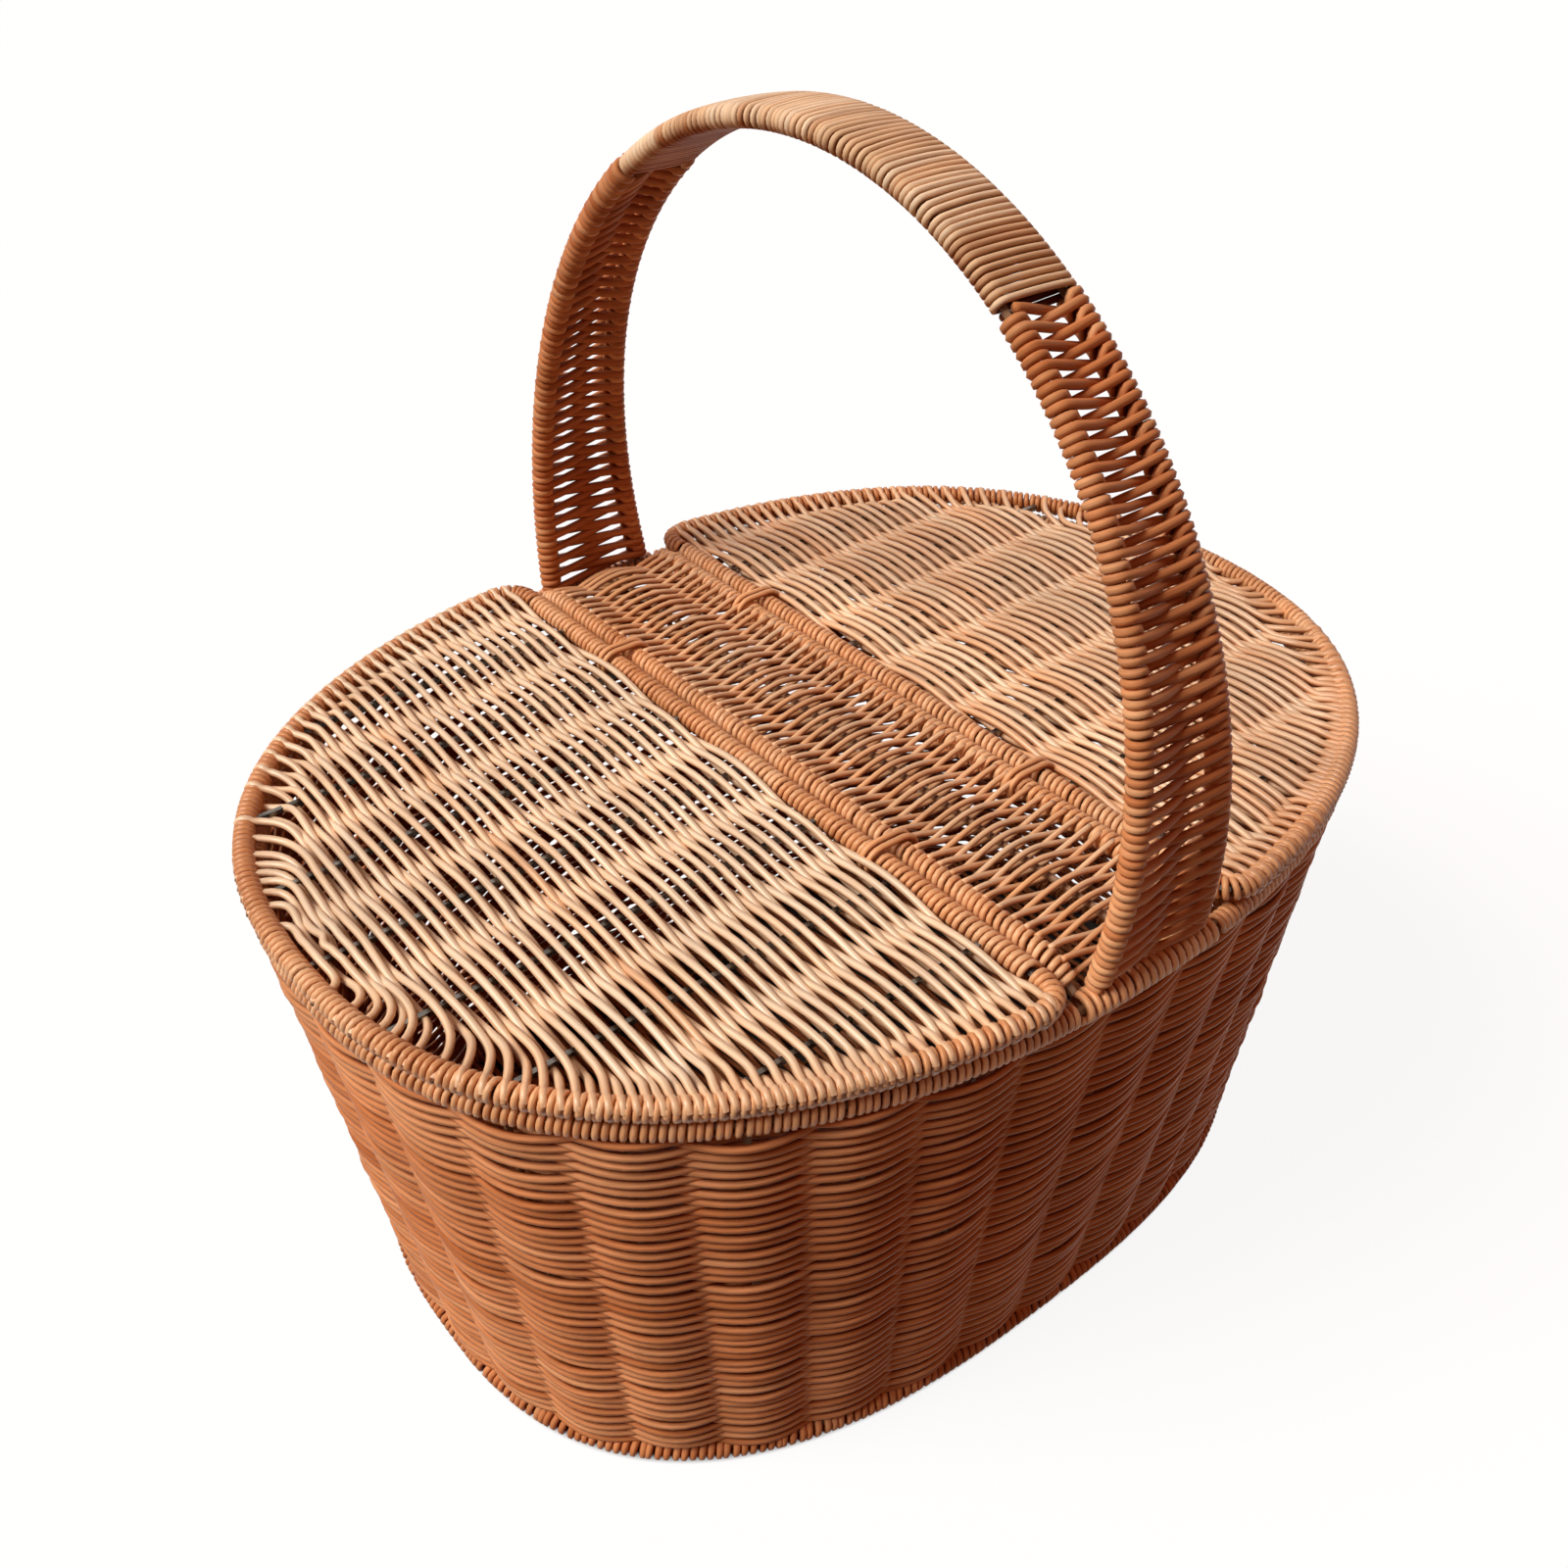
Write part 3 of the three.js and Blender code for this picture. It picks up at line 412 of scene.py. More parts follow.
def wind(bundle: StrandMesh, rod: Rod, span: Span, wire: float, rng: np.random.Generator,
         closed: bool = False, pitch: float = STOCK.turn_pitch, slip: float = STOCK.turn_slip,
         strand: float = STOCK.strand, fade: Fade = ((0.0, 1.0), (0.0, 0.0))) -> None:
    """Winds a strand round a rod: a helix of even pitch whose turns stray a little in place and size.

    The path is place plus radius times (cosine of the turn angle times out plus sine times up).

    Args:
        bundle: Mesh that takes the strand.
        rod: Rod that is wound.
        span: Lengths along the rod where the winding starts and stops.
        wire: Diameter of what is wound.
        rng: Seeded source of the stray.
        closed: True if the winding closes on itself round a ring.
        pitch: Distance of the turns.
        slip: How far a turn strays along the rod, as a share of the pitch.
        strand: Diameter of the strand.
        fade: Shares of the winding's length, and the shade that is added at each.
    """
    turns = max(int(round((span[1] - span[0]) / pitch)), 1)
    turn = np.arange(turns * STOCK.turn_points + (0 if closed else 1)) / STOCK.turn_points
    knots = turns if closed else turns + 1
    stray = drifts(rng, (knots,), STOCK.turn_stray)
    shade = drifts(rng, (knots,), STOCK.turn_shade)
    shift = eased(turn, np.append(stray, stray[0])) * slip * pitch
    reach = span[0] + (span[1] - span[0]) * turn / turns + shift
    reach = np.mod(reach, rod.length) if closed else np.clip(reach, 0.0, rod.length)
    at, out, up = rod.at(reach)
    angle = 2.0 * math.pi * turn
    radial = np.cos(angle)[:, None] * out + np.sin(angle)[:, None] * up
    size = eased(turn, np.append(np.roll(stray, STOCK.size_lag), stray[STOCK.size_lag % knots]))
    radius = STOCK.path_radius(wire, strand) + STOCK.slack + STOCK.size_stray * size
    tone = eased(turn, np.append(shade, shade[0])) + np.interp(turn / turns, *fade)
    path = at + radius[:, None] * radial
    bundle.add(path[None], -radial[None], tone[None], strand / 2, closed)


class Graph:
    """A shader's nodes, added one at a time with their inputs joined or set."""

    def __init__(self, owner: bpy.types.Material | bpy.types.World, bare: bool = False) -> None:
        """Turns the owner's nodes on.

        Args:
            owner: Material or world that holds the nodes.
            bare: True if the nodes that it starts with go.
        """
        owner.use_nodes = True
        self.nodes, self.links = owner.node_tree.nodes, owner.node_tree.links
        if bare:
            self.nodes.clear()

    def feed(self, node: bpy.types.Node, inputs: dict) -> None:
        """Joins sockets to a node's inputs and sets the inputs that are given values.

        Args:
            node: Node that is fed.
            inputs: Sockets and values by the input's name or number.
        """
        for key, value in inputs.items():
            if isinstance(value, bpy.types.NodeSocket):
                self.links.new(value, node.inputs[key])
            else:
                node.inputs[key].default_value = value

    def add(self, kind: str, inputs: dict | None = None, **settings: str) -> bpy.types.Node:
        """Adds a node.

        Args:
            kind: Type of the node, without its prefix ShaderNode.
            inputs: Sockets and values by the input's name or number.
            settings: Values of the node's own settings.

        Returns:
            The node.
        """
        node = self.nodes.new(f"ShaderNode{kind}")
        for name, value in settings.items():
            setattr(node, name, value)
        self.feed(node, inputs or {})
        return node

    def math(self, operation: str, *values: bpy.types.NodeSocket | float) -> bpy.types.NodeSocket:
        """The result of an operation on sockets and numbers."""
        return self.add("Math", dict(enumerate(values)), operation=operation).outputs["Value"]

    def mapped(self, value: bpy.types.NodeSocket, span: Span, onto: Span = (0.0, 1.0),
               **settings: str) -> bpy.types.NodeSocket:
        """A value carried from one span onto another and held inside it.

        Args:
            value: Value that is carried.
            span: Values that land on the ends of the other span.
            onto: The other span.
            settings: Settings of the node, such as its interpolation.

        Returns:
            The carried value.
        """
        ends = dict(zip(("From Min", "From Max", "To Min", "To Max"), (*span, *onto)))
        return self.add("MapRange", {"Value": value, **ends}, **settings).outputs["Result"]

    def noise(self, place: bpy.types.NodeSocket, scale: float, detail: float) -> bpy.types.NodeSocket:
        """Noise read at a place, about 0.5 in the middle."""
        return self.add("TexNoise", {"Vector": place, "Scale": scale, "Detail": detail}).outputs["Fac"]

    def ramp(self, value: bpy.types.NodeSocket, *stops: tuple[float, Color]) -> bpy.types.NodeSocket:
        """A colour picked by a value between stops, each a place and its colour."""
        node = self.add("ValToRGB", {"Fac": value})
        elements = node.color_ramp.elements
        elements.remove(elements[1])
        elements[0].position, elements[0].color = stops[0][0], (*stops[0][1], 1.0)
        for place, color in stops[1:]:
            elements.new(place).color = (*color, 1.0)
        return node.outputs["Color"]

    def seen(self) -> bpy.types.NodeSocket:
        """1 on rays from the camera, through glass and off gloss, 0 on the rays that only bring light."""
        path = self.add("LightPath").outputs
        direct = self.math("MAXIMUM", path["Is Camera Ray"], path["Is Transmission Ray"])
        return self.math("MAXIMUM", direct, path["Is Glossy Ray"])


@dataclass(frozen=True)
class StrandFinish:
    """Satin round plastic strand: a base colour, a deeper and a paler shade, and fine drawn lines."""

    tone_span: ClassVar[Span] = (-2.0, 2.0)
    streak_stretch: ClassVar[Triple] = (0.35, 5.0, 1.0)
    streak_noise: ClassVar[Pair] = (2.2, 3.0)
    streak_range: ClassVar[Span] = (0.76, 1.22)
    mottle_noise: ClassVar[Pair] = (34.0, 2.0)
    mottle_range: ClassVar[Span] = (0.86, 1.12)
    noise_span: ClassVar[Span] = (0.25, 0.75)
    crease_shade_span: ClassVar[Span] = (-0.8, 0.3)
    rough_span: ClassVar[Span] = (0.3, 0.7)
    rough_range: ClassVar[Span] = (0.32, 0.48)
    bump_strength: ClassVar[float] = 0.25
    bump_distance: ClassVar[float] = 0.0002
    name: str
    slot: str
    color: Color
    deep: Color
    pale: Color
    gloss: float
    sheen: Color
    crease_shade: Color = (0.62, 0.44, 0.34)

    def material(self) -> bpy.types.Material:
        """The finish's material, made once.

        The tone attribute picks a shade between deep and pale, streaks that run along the strand's map
        and a slow mottle in object space vary it, painted shade darkens the strand on its hidden side, and
        the same streaks drive roughness and bump.

        Returns:
            The material.
        """
        found = bpy.data.materials.get(self.name)
        if found:
            return found
        material = bpy.data.materials.new(self.name)
        graph = Graph(material)
        tone = graph.mapped(graph.add("Attribute", attribute_name="tone").outputs["Fac"], self.tone_span)
        shade = graph.ramp(tone, (0.0, self.deep), (0.5, self.color), (1.0, self.pale))
        strand_map = graph.add("UVMap", uv_map="strand_map").outputs["UV"]
        stretch = graph.add("Mapping", {"Vector": strand_map, "Scale": self.streak_stretch})
        streaks = graph.noise(stretch.outputs["Vector"], *self.streak_noise)
        mottle = graph.noise(graph.add("TexCoord").outputs["Object"], *self.mottle_noise)
        color = self._varied(graph, shade, streaks, self.streak_range)
        color = self._varied(graph, color, mottle, self.mottle_range)
        bump = graph.add("Bump", {"Strength": self.bump_strength, "Distance": self.bump_distance,
                                  "Height": streaks})
        graph.feed(graph.nodes["Principled BSDF"], {
            "Base Color": self._paint_crease_shade(graph, color, strand_map),
            "Roughness": graph.mapped(streaks, self.rough_span, self.rough_range),
            "Specular IOR Level": self.gloss,
            "Specular Tint": (*self.sheen, 1.0),
            "Normal": bump.outputs["Normal"],
        })
        return material

    def _paint_crease_shade(self, graph: Graph, color: bpy.types.NodeSocket,
                 strand_map: bpy.types.NodeSocket) -> bpy.types.NodeSocket:
        """A colour darkened by painted shade where the strand faces its neighbours and its core.

        The painted shade grows with the cosine of two pi times the map's second value, which is -1 on the
        outer face of the strand and 1 on its inner face.

        Args:
            graph: Nodes of the material.
            color: Colour that takes the painted shade.
            strand_map: Map of the strand, length and angle.

        Returns:
            The stained colour.
        """
        around = graph.add("SeparateXYZ", {"Vector": strand_map}).outputs["Y"]
        inward = graph.math("COSINE", graph.math("MULTIPLY", around, 2.0 * math.pi))
        # Painted shade: the crease colour darkens the strand where it faces its neighbours and its core.
        painted_shade = graph.mapped(inward, self.crease_shade_span, interpolation_type="SMOOTHSTEP")
        mixed = {"Factor": painted_shade, "A": WHITE[:3], "B": self.crease_shade}
        shade = graph.add("Mix", mixed, data_type="VECTOR").outputs["Result"]
        crease_shaded = graph.add("VectorMath", {0: color, 1: shade}, operation="MULTIPLY")
        return crease_shaded.outputs["Vector"]

    def _varied(self, graph: Graph, color: bpy.types.NodeSocket, noise: bpy.types.NodeSocket,
                factors: Span) -> bpy.types.NodeSocket:
        """A colour made darker and lighter by a noise value.

        Args:
            graph: Nodes of the material.
            color: Colour that is varied.
            noise: Noise, about 0.5 in the middle.
            factors: Factors at the low and the high end of the noise.

        Returns:
            The varied colour.
        """
        factor = graph.mapped(noise, self.noise_span, factors)
        return graph.add("VectorMath", {0: color, "Scale": factor}, operation="SCALE").outputs["Vector"]


@dataclass(frozen=True)
class WireFinish:
    """Drawn steel wire with a coat that is dulled in patches."""

    patch_noise: ClassVar[Pair] = (160.0, 4.0)
    patch_span: ClassVar[Span] = (0.35, 0.65)
    rough_span: ClassVar[Span] = (0.3, 0.7)
    name: str
    color: Color
    dull: Color
    rough_range: Span
    metal: float

    def material(self) -> bpy.types.Material:
        """The finish's material, made once: a noise in object space mixes bright and dull coat.

        Returns:
            The material.
        """
        found = bpy.data.materials.get(self.name)
        if found:
            return found
        material = bpy.data.materials.new(self.name)
        graph = Graph(material)
        patches = graph.noise(graph.add("TexCoord").outputs["Object"], *self.patch_noise)
        graph.feed(graph.nodes["Principled BSDF"], {
            "Base Color": graph.ramp(patches, *zip(self.patch_span, (self.dull, self.color))),
            "Metallic": self.metal,
            "Roughness": graph.mapped(patches, self.rough_span, self.rough_range),
        })
        return material

    def dress(self, *nodes: str) -> None:
        """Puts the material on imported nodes.

        Args:
            nodes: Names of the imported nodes.
        """
        for node in nodes:
            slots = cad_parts[node].data.materials
            slots.clear()
            slots.append(self.material())
            log.info("%s: kept from the packed part, %s", node, self.name)


# Painted light and shade: the real basket has one strand colour, and these finishes are lit and shaded
# copies of it, paler TAN on the lids and the bridge that face the key light, deeper CARAMEL, RUSSET and
# LEG_EDGE on the wall and the legs that lie more in shade. Each crease colour is painted shade between
# neighbouring strands.
TAN = StrandFinish("tan_strand", "strand_tan", (0.90, 0.60, 0.36), (0.80, 0.385, 0.165),
                   (0.94, 0.72, 0.50), 0.8, (1.0, 0.93, 0.86))
HONEY = StrandFinish("honey_strand", "strand_caramel", (0.80, 0.375, 0.16), (0.62, 0.235, 0.08),
                     (0.88, 0.50, 0.26), 0.6, (1.0, 0.8, 0.64), (0.48, 0.30, 0.2))
# The grip's finish: its very dark deep end serves the painted shade on the grip's underside.
GRIP_TAN = StrandFinish("worn_grip_strand", "strand_caramel", (0.88, 0.55, 0.31), (0.44, 0.135, 0.04),
                    (0.97, 0.76, 0.54), 0.08, (1.0, 0.84, 0.7), (0.28, 0.14, 0.07))
CARAMEL = StrandFinish("caramel_strand", "strand_caramel", (0.69, 0.255, 0.098), (0.52, 0.155, 0.046),
                       (0.80, 0.365, 0.165), 0.05, (1.0, 0.66, 0.46), (0.5, 0.32, 0.23))
RUSSET = StrandFinish("russet_strand", "strand_russet", (0.58, 0.20, 0.07), (0.44, 0.125, 0.038),
                      (0.72, 0.32, 0.14), 0.12, (1.0, 0.66, 0.46), (1.0, 1.0, 1.0))
LEG_EDGE = StrandFinish("leg_edge_strand", "strand_russet", (0.64, 0.245, 0.095), (0.46, 0.135, 0.042),
                        (0.82, 0.42, 0.20), 0.12, (1.0, 0.66, 0.46), (0.52, 0.37, 0.28))
ZINC = WireFinish("zinc_wire", (0.27, 0.24, 0.21), (0.09, 0.075, 0.06), (0.18, 0.32), 0.9)
BROWN_WIRE = WireFinish("brown_coated_wire", (0.30, 0.145, 0.06), (0.20, 0.09, 0.035), (0.4, 0.6), 0.0)


@dataclass
class Tub:
    """The tapered oval tub: woven wall, woven floor and the windings of its rim and base rods."""

    rim: Oval = field(default_factory=lambda: Oval(195.0, 151.0, 2.3))
    base: Oval = field(default_factory=lambda: Oval(175.5, 127.5, 2.62))
    rim_level: float = 185.4
    base_level: float = 3.79
    wall_seed: int = 11
    stakes: int = 34
    points_per_stake: int = 8
    rows: int = 78
    first_row: float = 8.4
    row_pitch: float = 2.235
    row_strand: float = 2.58
    row_rise: Drifts = ((0.62, (3.0, 22.0)), (0.33, (0.4, 12.0)))
    row_depth: Drifts = ((0.10, (0.5, 10.0)),)
    row_shade: Drifts = ((0.75, (0.4, 60.0)), (0.45, (5.0, 40.0)))
    rim_rise: Drifts = ((0.9, (3.5, 34.0)),)
    rim_rows: int = 15
    rim_blend: float = 12.0
    edge_rows: float = 4.0
    bulge: float = 2.8
    inset: float = 0.35
    floor_seed: int = 12
    floor_level: float = 4.99
    floor_inset: float = 5.2
    floor_margin: float = 6.0
    floor_pitch: float = 2.6
    floor_points: int = 46
    floor_wave: float = 2.45
    floor_stray: Drifts = ((0.3, (2.0, 8.0)),)
    floor_shade: float = 0.6
    wire_pitch: float = 38.0
    base_wires: int = 6
    winding_seed: int = 13
    base_pitch: float = 2.85
    base_slip: float = 0.14
    base_strand: float = 2.75
    base_samples: int = 1601
    rim_samples: int = 901
    lashing_half: float = 29.8

    def wall_place(self, share: np.ndarray, level: np.ndarray) -> tuple[np.ndarray, np.ndarray]:
        """Place on the leaning wall, between the base oval and the rim oval in proportion to height.

        Args:
            share: Share of the way round.
            level: Height above the floor.

        Returns:
            Points and outward unit vectors in plan, both with a last axis of 3.
        """
        climb = ((level - self.base_level) / (self.rim_level - self.base_level))[..., None]
        low, high = self.base.at(share), self.rim.at(share)
        plan = low + (high - low) * climb
        out = unit(self.base.out(low) * (1.0 - climb) + self.rim.out(high) * climb)
        return raised(plan, level), raised(out, 0.0)

    def build_wall(self) -> None:
        """Weaves the wall: each row is a closed strand that waves out and in over the stakes.

        The offset from the stakes' line is bulge times the cosine of pi times the stake number, with the
        opposite sign on the next row.
        """
        rng = np.random.default_rng(self.wall_seed)
        count = self.stakes * self.points_per_stake
        shape = self.rows, count
        share = End.FRONT.share + np.arange(count) / count
        phase = np.arange(count) / self.points_per_stake
        row = np.arange(self.rows)
        wave = np.cos(math.pi * phase)[None] * alternate(self.rows)[:, None]
        near_rim = smooth_step((row - self.rows + self.rim_rows) / self.rim_blend)[:, None]
        rise = drifts(rng, shape, self.row_rise)
        rise += near_rim * drifts(rng, shape, self.rim_rise)
        edge = np.minimum(row, self.rows - 1 - row)[:, None]
        level = self.first_row + row[:, None] * self.row_pitch + rise * smooth_step(edge / self.edge_rows)
        depth = 1.0 + drifts(rng, shape, self.row_depth)
        points, out = self.wall_place(np.broadcast_to(share, shape), level)
        paths = points + out * (wave * self.bulge * depth - self.inset)[..., None]
        tone = drifts(rng, shape, self.row_shade)
        half = self.rows // 2
        for name, rows in (("wall_weave_lower", slice(0, half)), ("wall_weave_upper", slice(half, None))):
            bundle = StrandMesh(name)
            bundle.add(paths[rows], -out[rows], tone[rows], self.row_strand / 2, closed=True)
            bundle.piece(CARAMEL, "basket", "side_weave")

    def build_floor(self) -> None:
        """Weaves the floor: strands along Y that wave up and down over the wires along X."""
        rng = np.random.default_rng(self.floor_seed)
        plan = self.base.inset(self.floor_inset)
        count = int(2 * (plan.half_length - self.floor_margin) / self.floor_pitch)
        x = (np.arange(count) - (count - 1) / 2) * self.floor_pitch
        y = plan.width_at(x)[:, None] * np.linspace(-1.0, 1.0, self.floor_points)[None]
        first_wire = -(self.base_wires - 1) / 2 * self.wire_pitch
        wave = np.cos(math.pi * (y - first_wire) / self.wire_pitch) * alternate(count)[:, None]
        z = self.floor_level + self.floor_wave * wave
        stray = drifts(rng, y.shape, self.floor_stray)
        paths = np.stack([x[:, None] + stray, y, z], axis=-1)
        tone = rng.standard_normal(count)[:, None] * self.floor_shade
        bundle = StrandMesh("floor_weave")
        bundle.add(paths, -UP, tone, STOCK.strand / 2)
        bundle.piece(CARAMEL, "basket", "base_weave")

    @staticmethod
    def ring(oval: Oval, shares: np.ndarray, level: float) -> Rod:
        """A rod along an oval at a level, with its outward and upward directions.

        Args:
            oval: Plan of the rod.
            shares: Shares of the way round.
            level: Height of the rod.

        Returns:
            The rod.
        """
        plan = oval.at(shares)
        return Rod(raised(plan, level), raised(oval.out(plan), 0.0), UP)

    def build_windings(self) -> None:
        """Winds the base rod all round and the rim rod from lashing to lashing under each lid."""
        rng = np.random.default_rng(self.winding_seed)
        rod = self.ring(self.base, np.linspace(0.0, 1.0, self.base_samples), self.base_level)
        bundle = StrandMesh("base_winding")
        wind(bundle, rod, (0.0, rod.length), STOCK.frame_wire, rng, closed=True, pitch=self.base_pitch,
             slip=self.base_slip, strand=self.base_strand)
        bundle.piece(CARAMEL, "basket", "base_binding")
        reach = self.rim.share_at(self.lashing_half)
        for side in Side:
            shares = np.linspace(side.share - reach, side.share + reach, self.rim_samples)
            rod = self.ring(self.rim, shares, self.rim_level)
            bundle = StrandMesh(f"rim_winding_{side.word}")
            wind(bundle, rod, (0.0, rod.length), STOCK.frame_wire, rng)
            bundle.piece(HONEY, "basket", f"rim_binding_{side.word}")

    def build(self) -> None:
        """Builds the wall, the floor and the windings, and dresses the wire cage."""
        self.build_wall()
        self.build_floor()
        self.build_windings()
        BROWN_WIRE.dress("body_wire_cage")


@dataclass
class Bridge:
    """The fixed strip across the middle: two wound rods, a woven strip and a lashing at each end."""

    tub: Tub
    half: float = BRIDGE_HALF
    level: float = TOP_LEVEL
    foot: float = FOOT_Y
    bend: float = 20.0
    drop: float = 6.5
    weave_seed: int = 21
    weave_end: float = 142.9
    pitch: float = 2.6
    strand: float = 2.12
    wave: float = 2.85
    points: int = 27
    end_gap: float = 1.2
    stray: Drifts = ((0.45, (1.5, 7.0)), (0.2, (0.4, 9.0)))
    shade: Drifts = ((0.5, (0.4, 20.0)),)
    painted_shade: float = 1.5
    edge_seed: int = 22
    edge_samples: int = 701
    winding_end: float = 141.8
    lashing_seed: int = 23
    lashing_half: float = 29.5
    lashing_shift: float = 1.3
    lashing_pitch: float = 3.05
    lashing_out: float = 4.3
    lashing_up: float = 3.1
    lashing_strand: float = 2.76
    lashing_stray: float = 0.22
    lashing_shade: float = 0.7
    lashing_points: int = 14
    lashing_samples: int = 121

    def height(self, y: np.ndarray) -> np.ndarray:
        """Height of the rods at y: flat, then down to the rim by a square law."""
        flat, tip = self.foot - self.bend, self.foot - STOCK.frame_wire / 2
        return self.level - self.drop * np.clip((np.abs(y) - flat) / (tip - flat), 0.0, None) ** 2

    def build_weave(self) -> None:
        """Weaves the strip: passes across X, over the middle wire and under the rods, or the reverse.

        The height is wave times the cosine of pi x over half, with the opposite sign on the next pass.
        """
        rng = np.random.default_rng(self.weave_seed)
        count = int(2 * self.weave_end / self.pitch)
        shape = count, self.points
        y = (np.arange(count) - (count - 1) / 2) * self.pitch
        x = np.linspace(-self.half + self.end_gap, self.half - self.end_gap, self.points)
        lift = self.wave * np.cos(math.pi * x / self.half)[None] * alternate(count)[:, None]
        place = y[:, None] + drifts(rng, shape, self.stray)
        paths = np.stack([np.broadcast_to(x, shape), place, self.height(place) + lift], axis=-1)
        # Painted shade: the strip's strands are darkened all over, for the shade among them and under the
        # handle.
        tone = drifts(rng, shape, self.shade) - self.painted_shade
        bundle = StrandMesh("bridge_strands")
        bundle.add(paths, -UP, tone, self.strand / 2)
        bundle.piece(TAN, "basket", "bridge_weave")

    def build_edges(self) -> None:
        """Winds each edge rod of the bridge from lashing to lashing."""
        rng = np.random.default_rng(self.edge_seed)
        y = np.linspace(-self.winding_end, self.winding_end, self.edge_samples)
        for side in Side:
            line = np.stack([np.full_like(y, side.value * self.half), y, self.height(y)], axis=-1)
            rod = Rod(line, ACROSS * side.value, unit(np.cross(np.gradient(line, axis=0), -ACROSS)))
            bundle = StrandMesh(f"bridge_edge_winding_{side.word}")
            wind(bundle, rod, (0.0, rod.length), STOCK.frame_wire, rng, pitch=STOCK.fine_pitch,
                 strand=STOCK.fine, fade=STOCK.fine_fade)
            bundle.piece(HONEY, "basket", f"bridge_edge_binding_{side.word}")

    def build_lashings(self) -> None:
        """Lashes rim, handle feet and bridge ends together: an oval helix along the rim.

        The path is place plus lashing_out times cosine out plus lashing_up times sine up.
        """
        rng = np.random.default_rng(self.lashing_seed)
        path = self.tub.rim.inset(self.lashing_shift)
        half = End.BACK.share - self.tub.rim.share_at(self.lashing_half)
        for end in End:
            shares = np.linspace(end.share - half, end.share + half, self.lashing_samples)
            rod = self.tub.ring(path, shares, self.tub.rim_level)
            run = rod.length - STOCK.strand
            turns = int(round(run / self.lashing_pitch))
            turn = np.linspace(0.0, turns, turns * self.lashing_points + 1)
            stray = eased(turn, rng.standard_normal(turns + 1)) * self.lashing_stray
            reach = STOCK.strand / 2 + run * turn / turns + stray * np.sin(math.pi * turn / turns)
            at, out, up = rod.at(reach)
            angle = 2.0 * math.pi * turn - math.pi / 2
            paths = at + self.lashing_out * np.cos(angle)[:, None] * out
            paths += self.lashing_up * np.sin(angle)[:, None] * up
            tone = eased(turn, rng.standard_normal(turns + 1)) * self.lashing_shade
            bundle = StrandMesh(f"bridge_lashing_{end.word}")
            bundle.add(paths[None], (at - paths)[None], tone[None], self.lashing_strand / 2)
            bundle.piece(HONEY, "basket", f"bridge_end_binding_{end.word}")

    def build(self) -> None:
        """Builds the strip, the edge windings and the lashings, and dresses the rods."""
        self.build_weave()
        self.build_edges()
        self.build_lashings()
        BROWN_WIRE.dress("bridge_rod_left", "bridge_rod_right", "bridge_middle_wire")


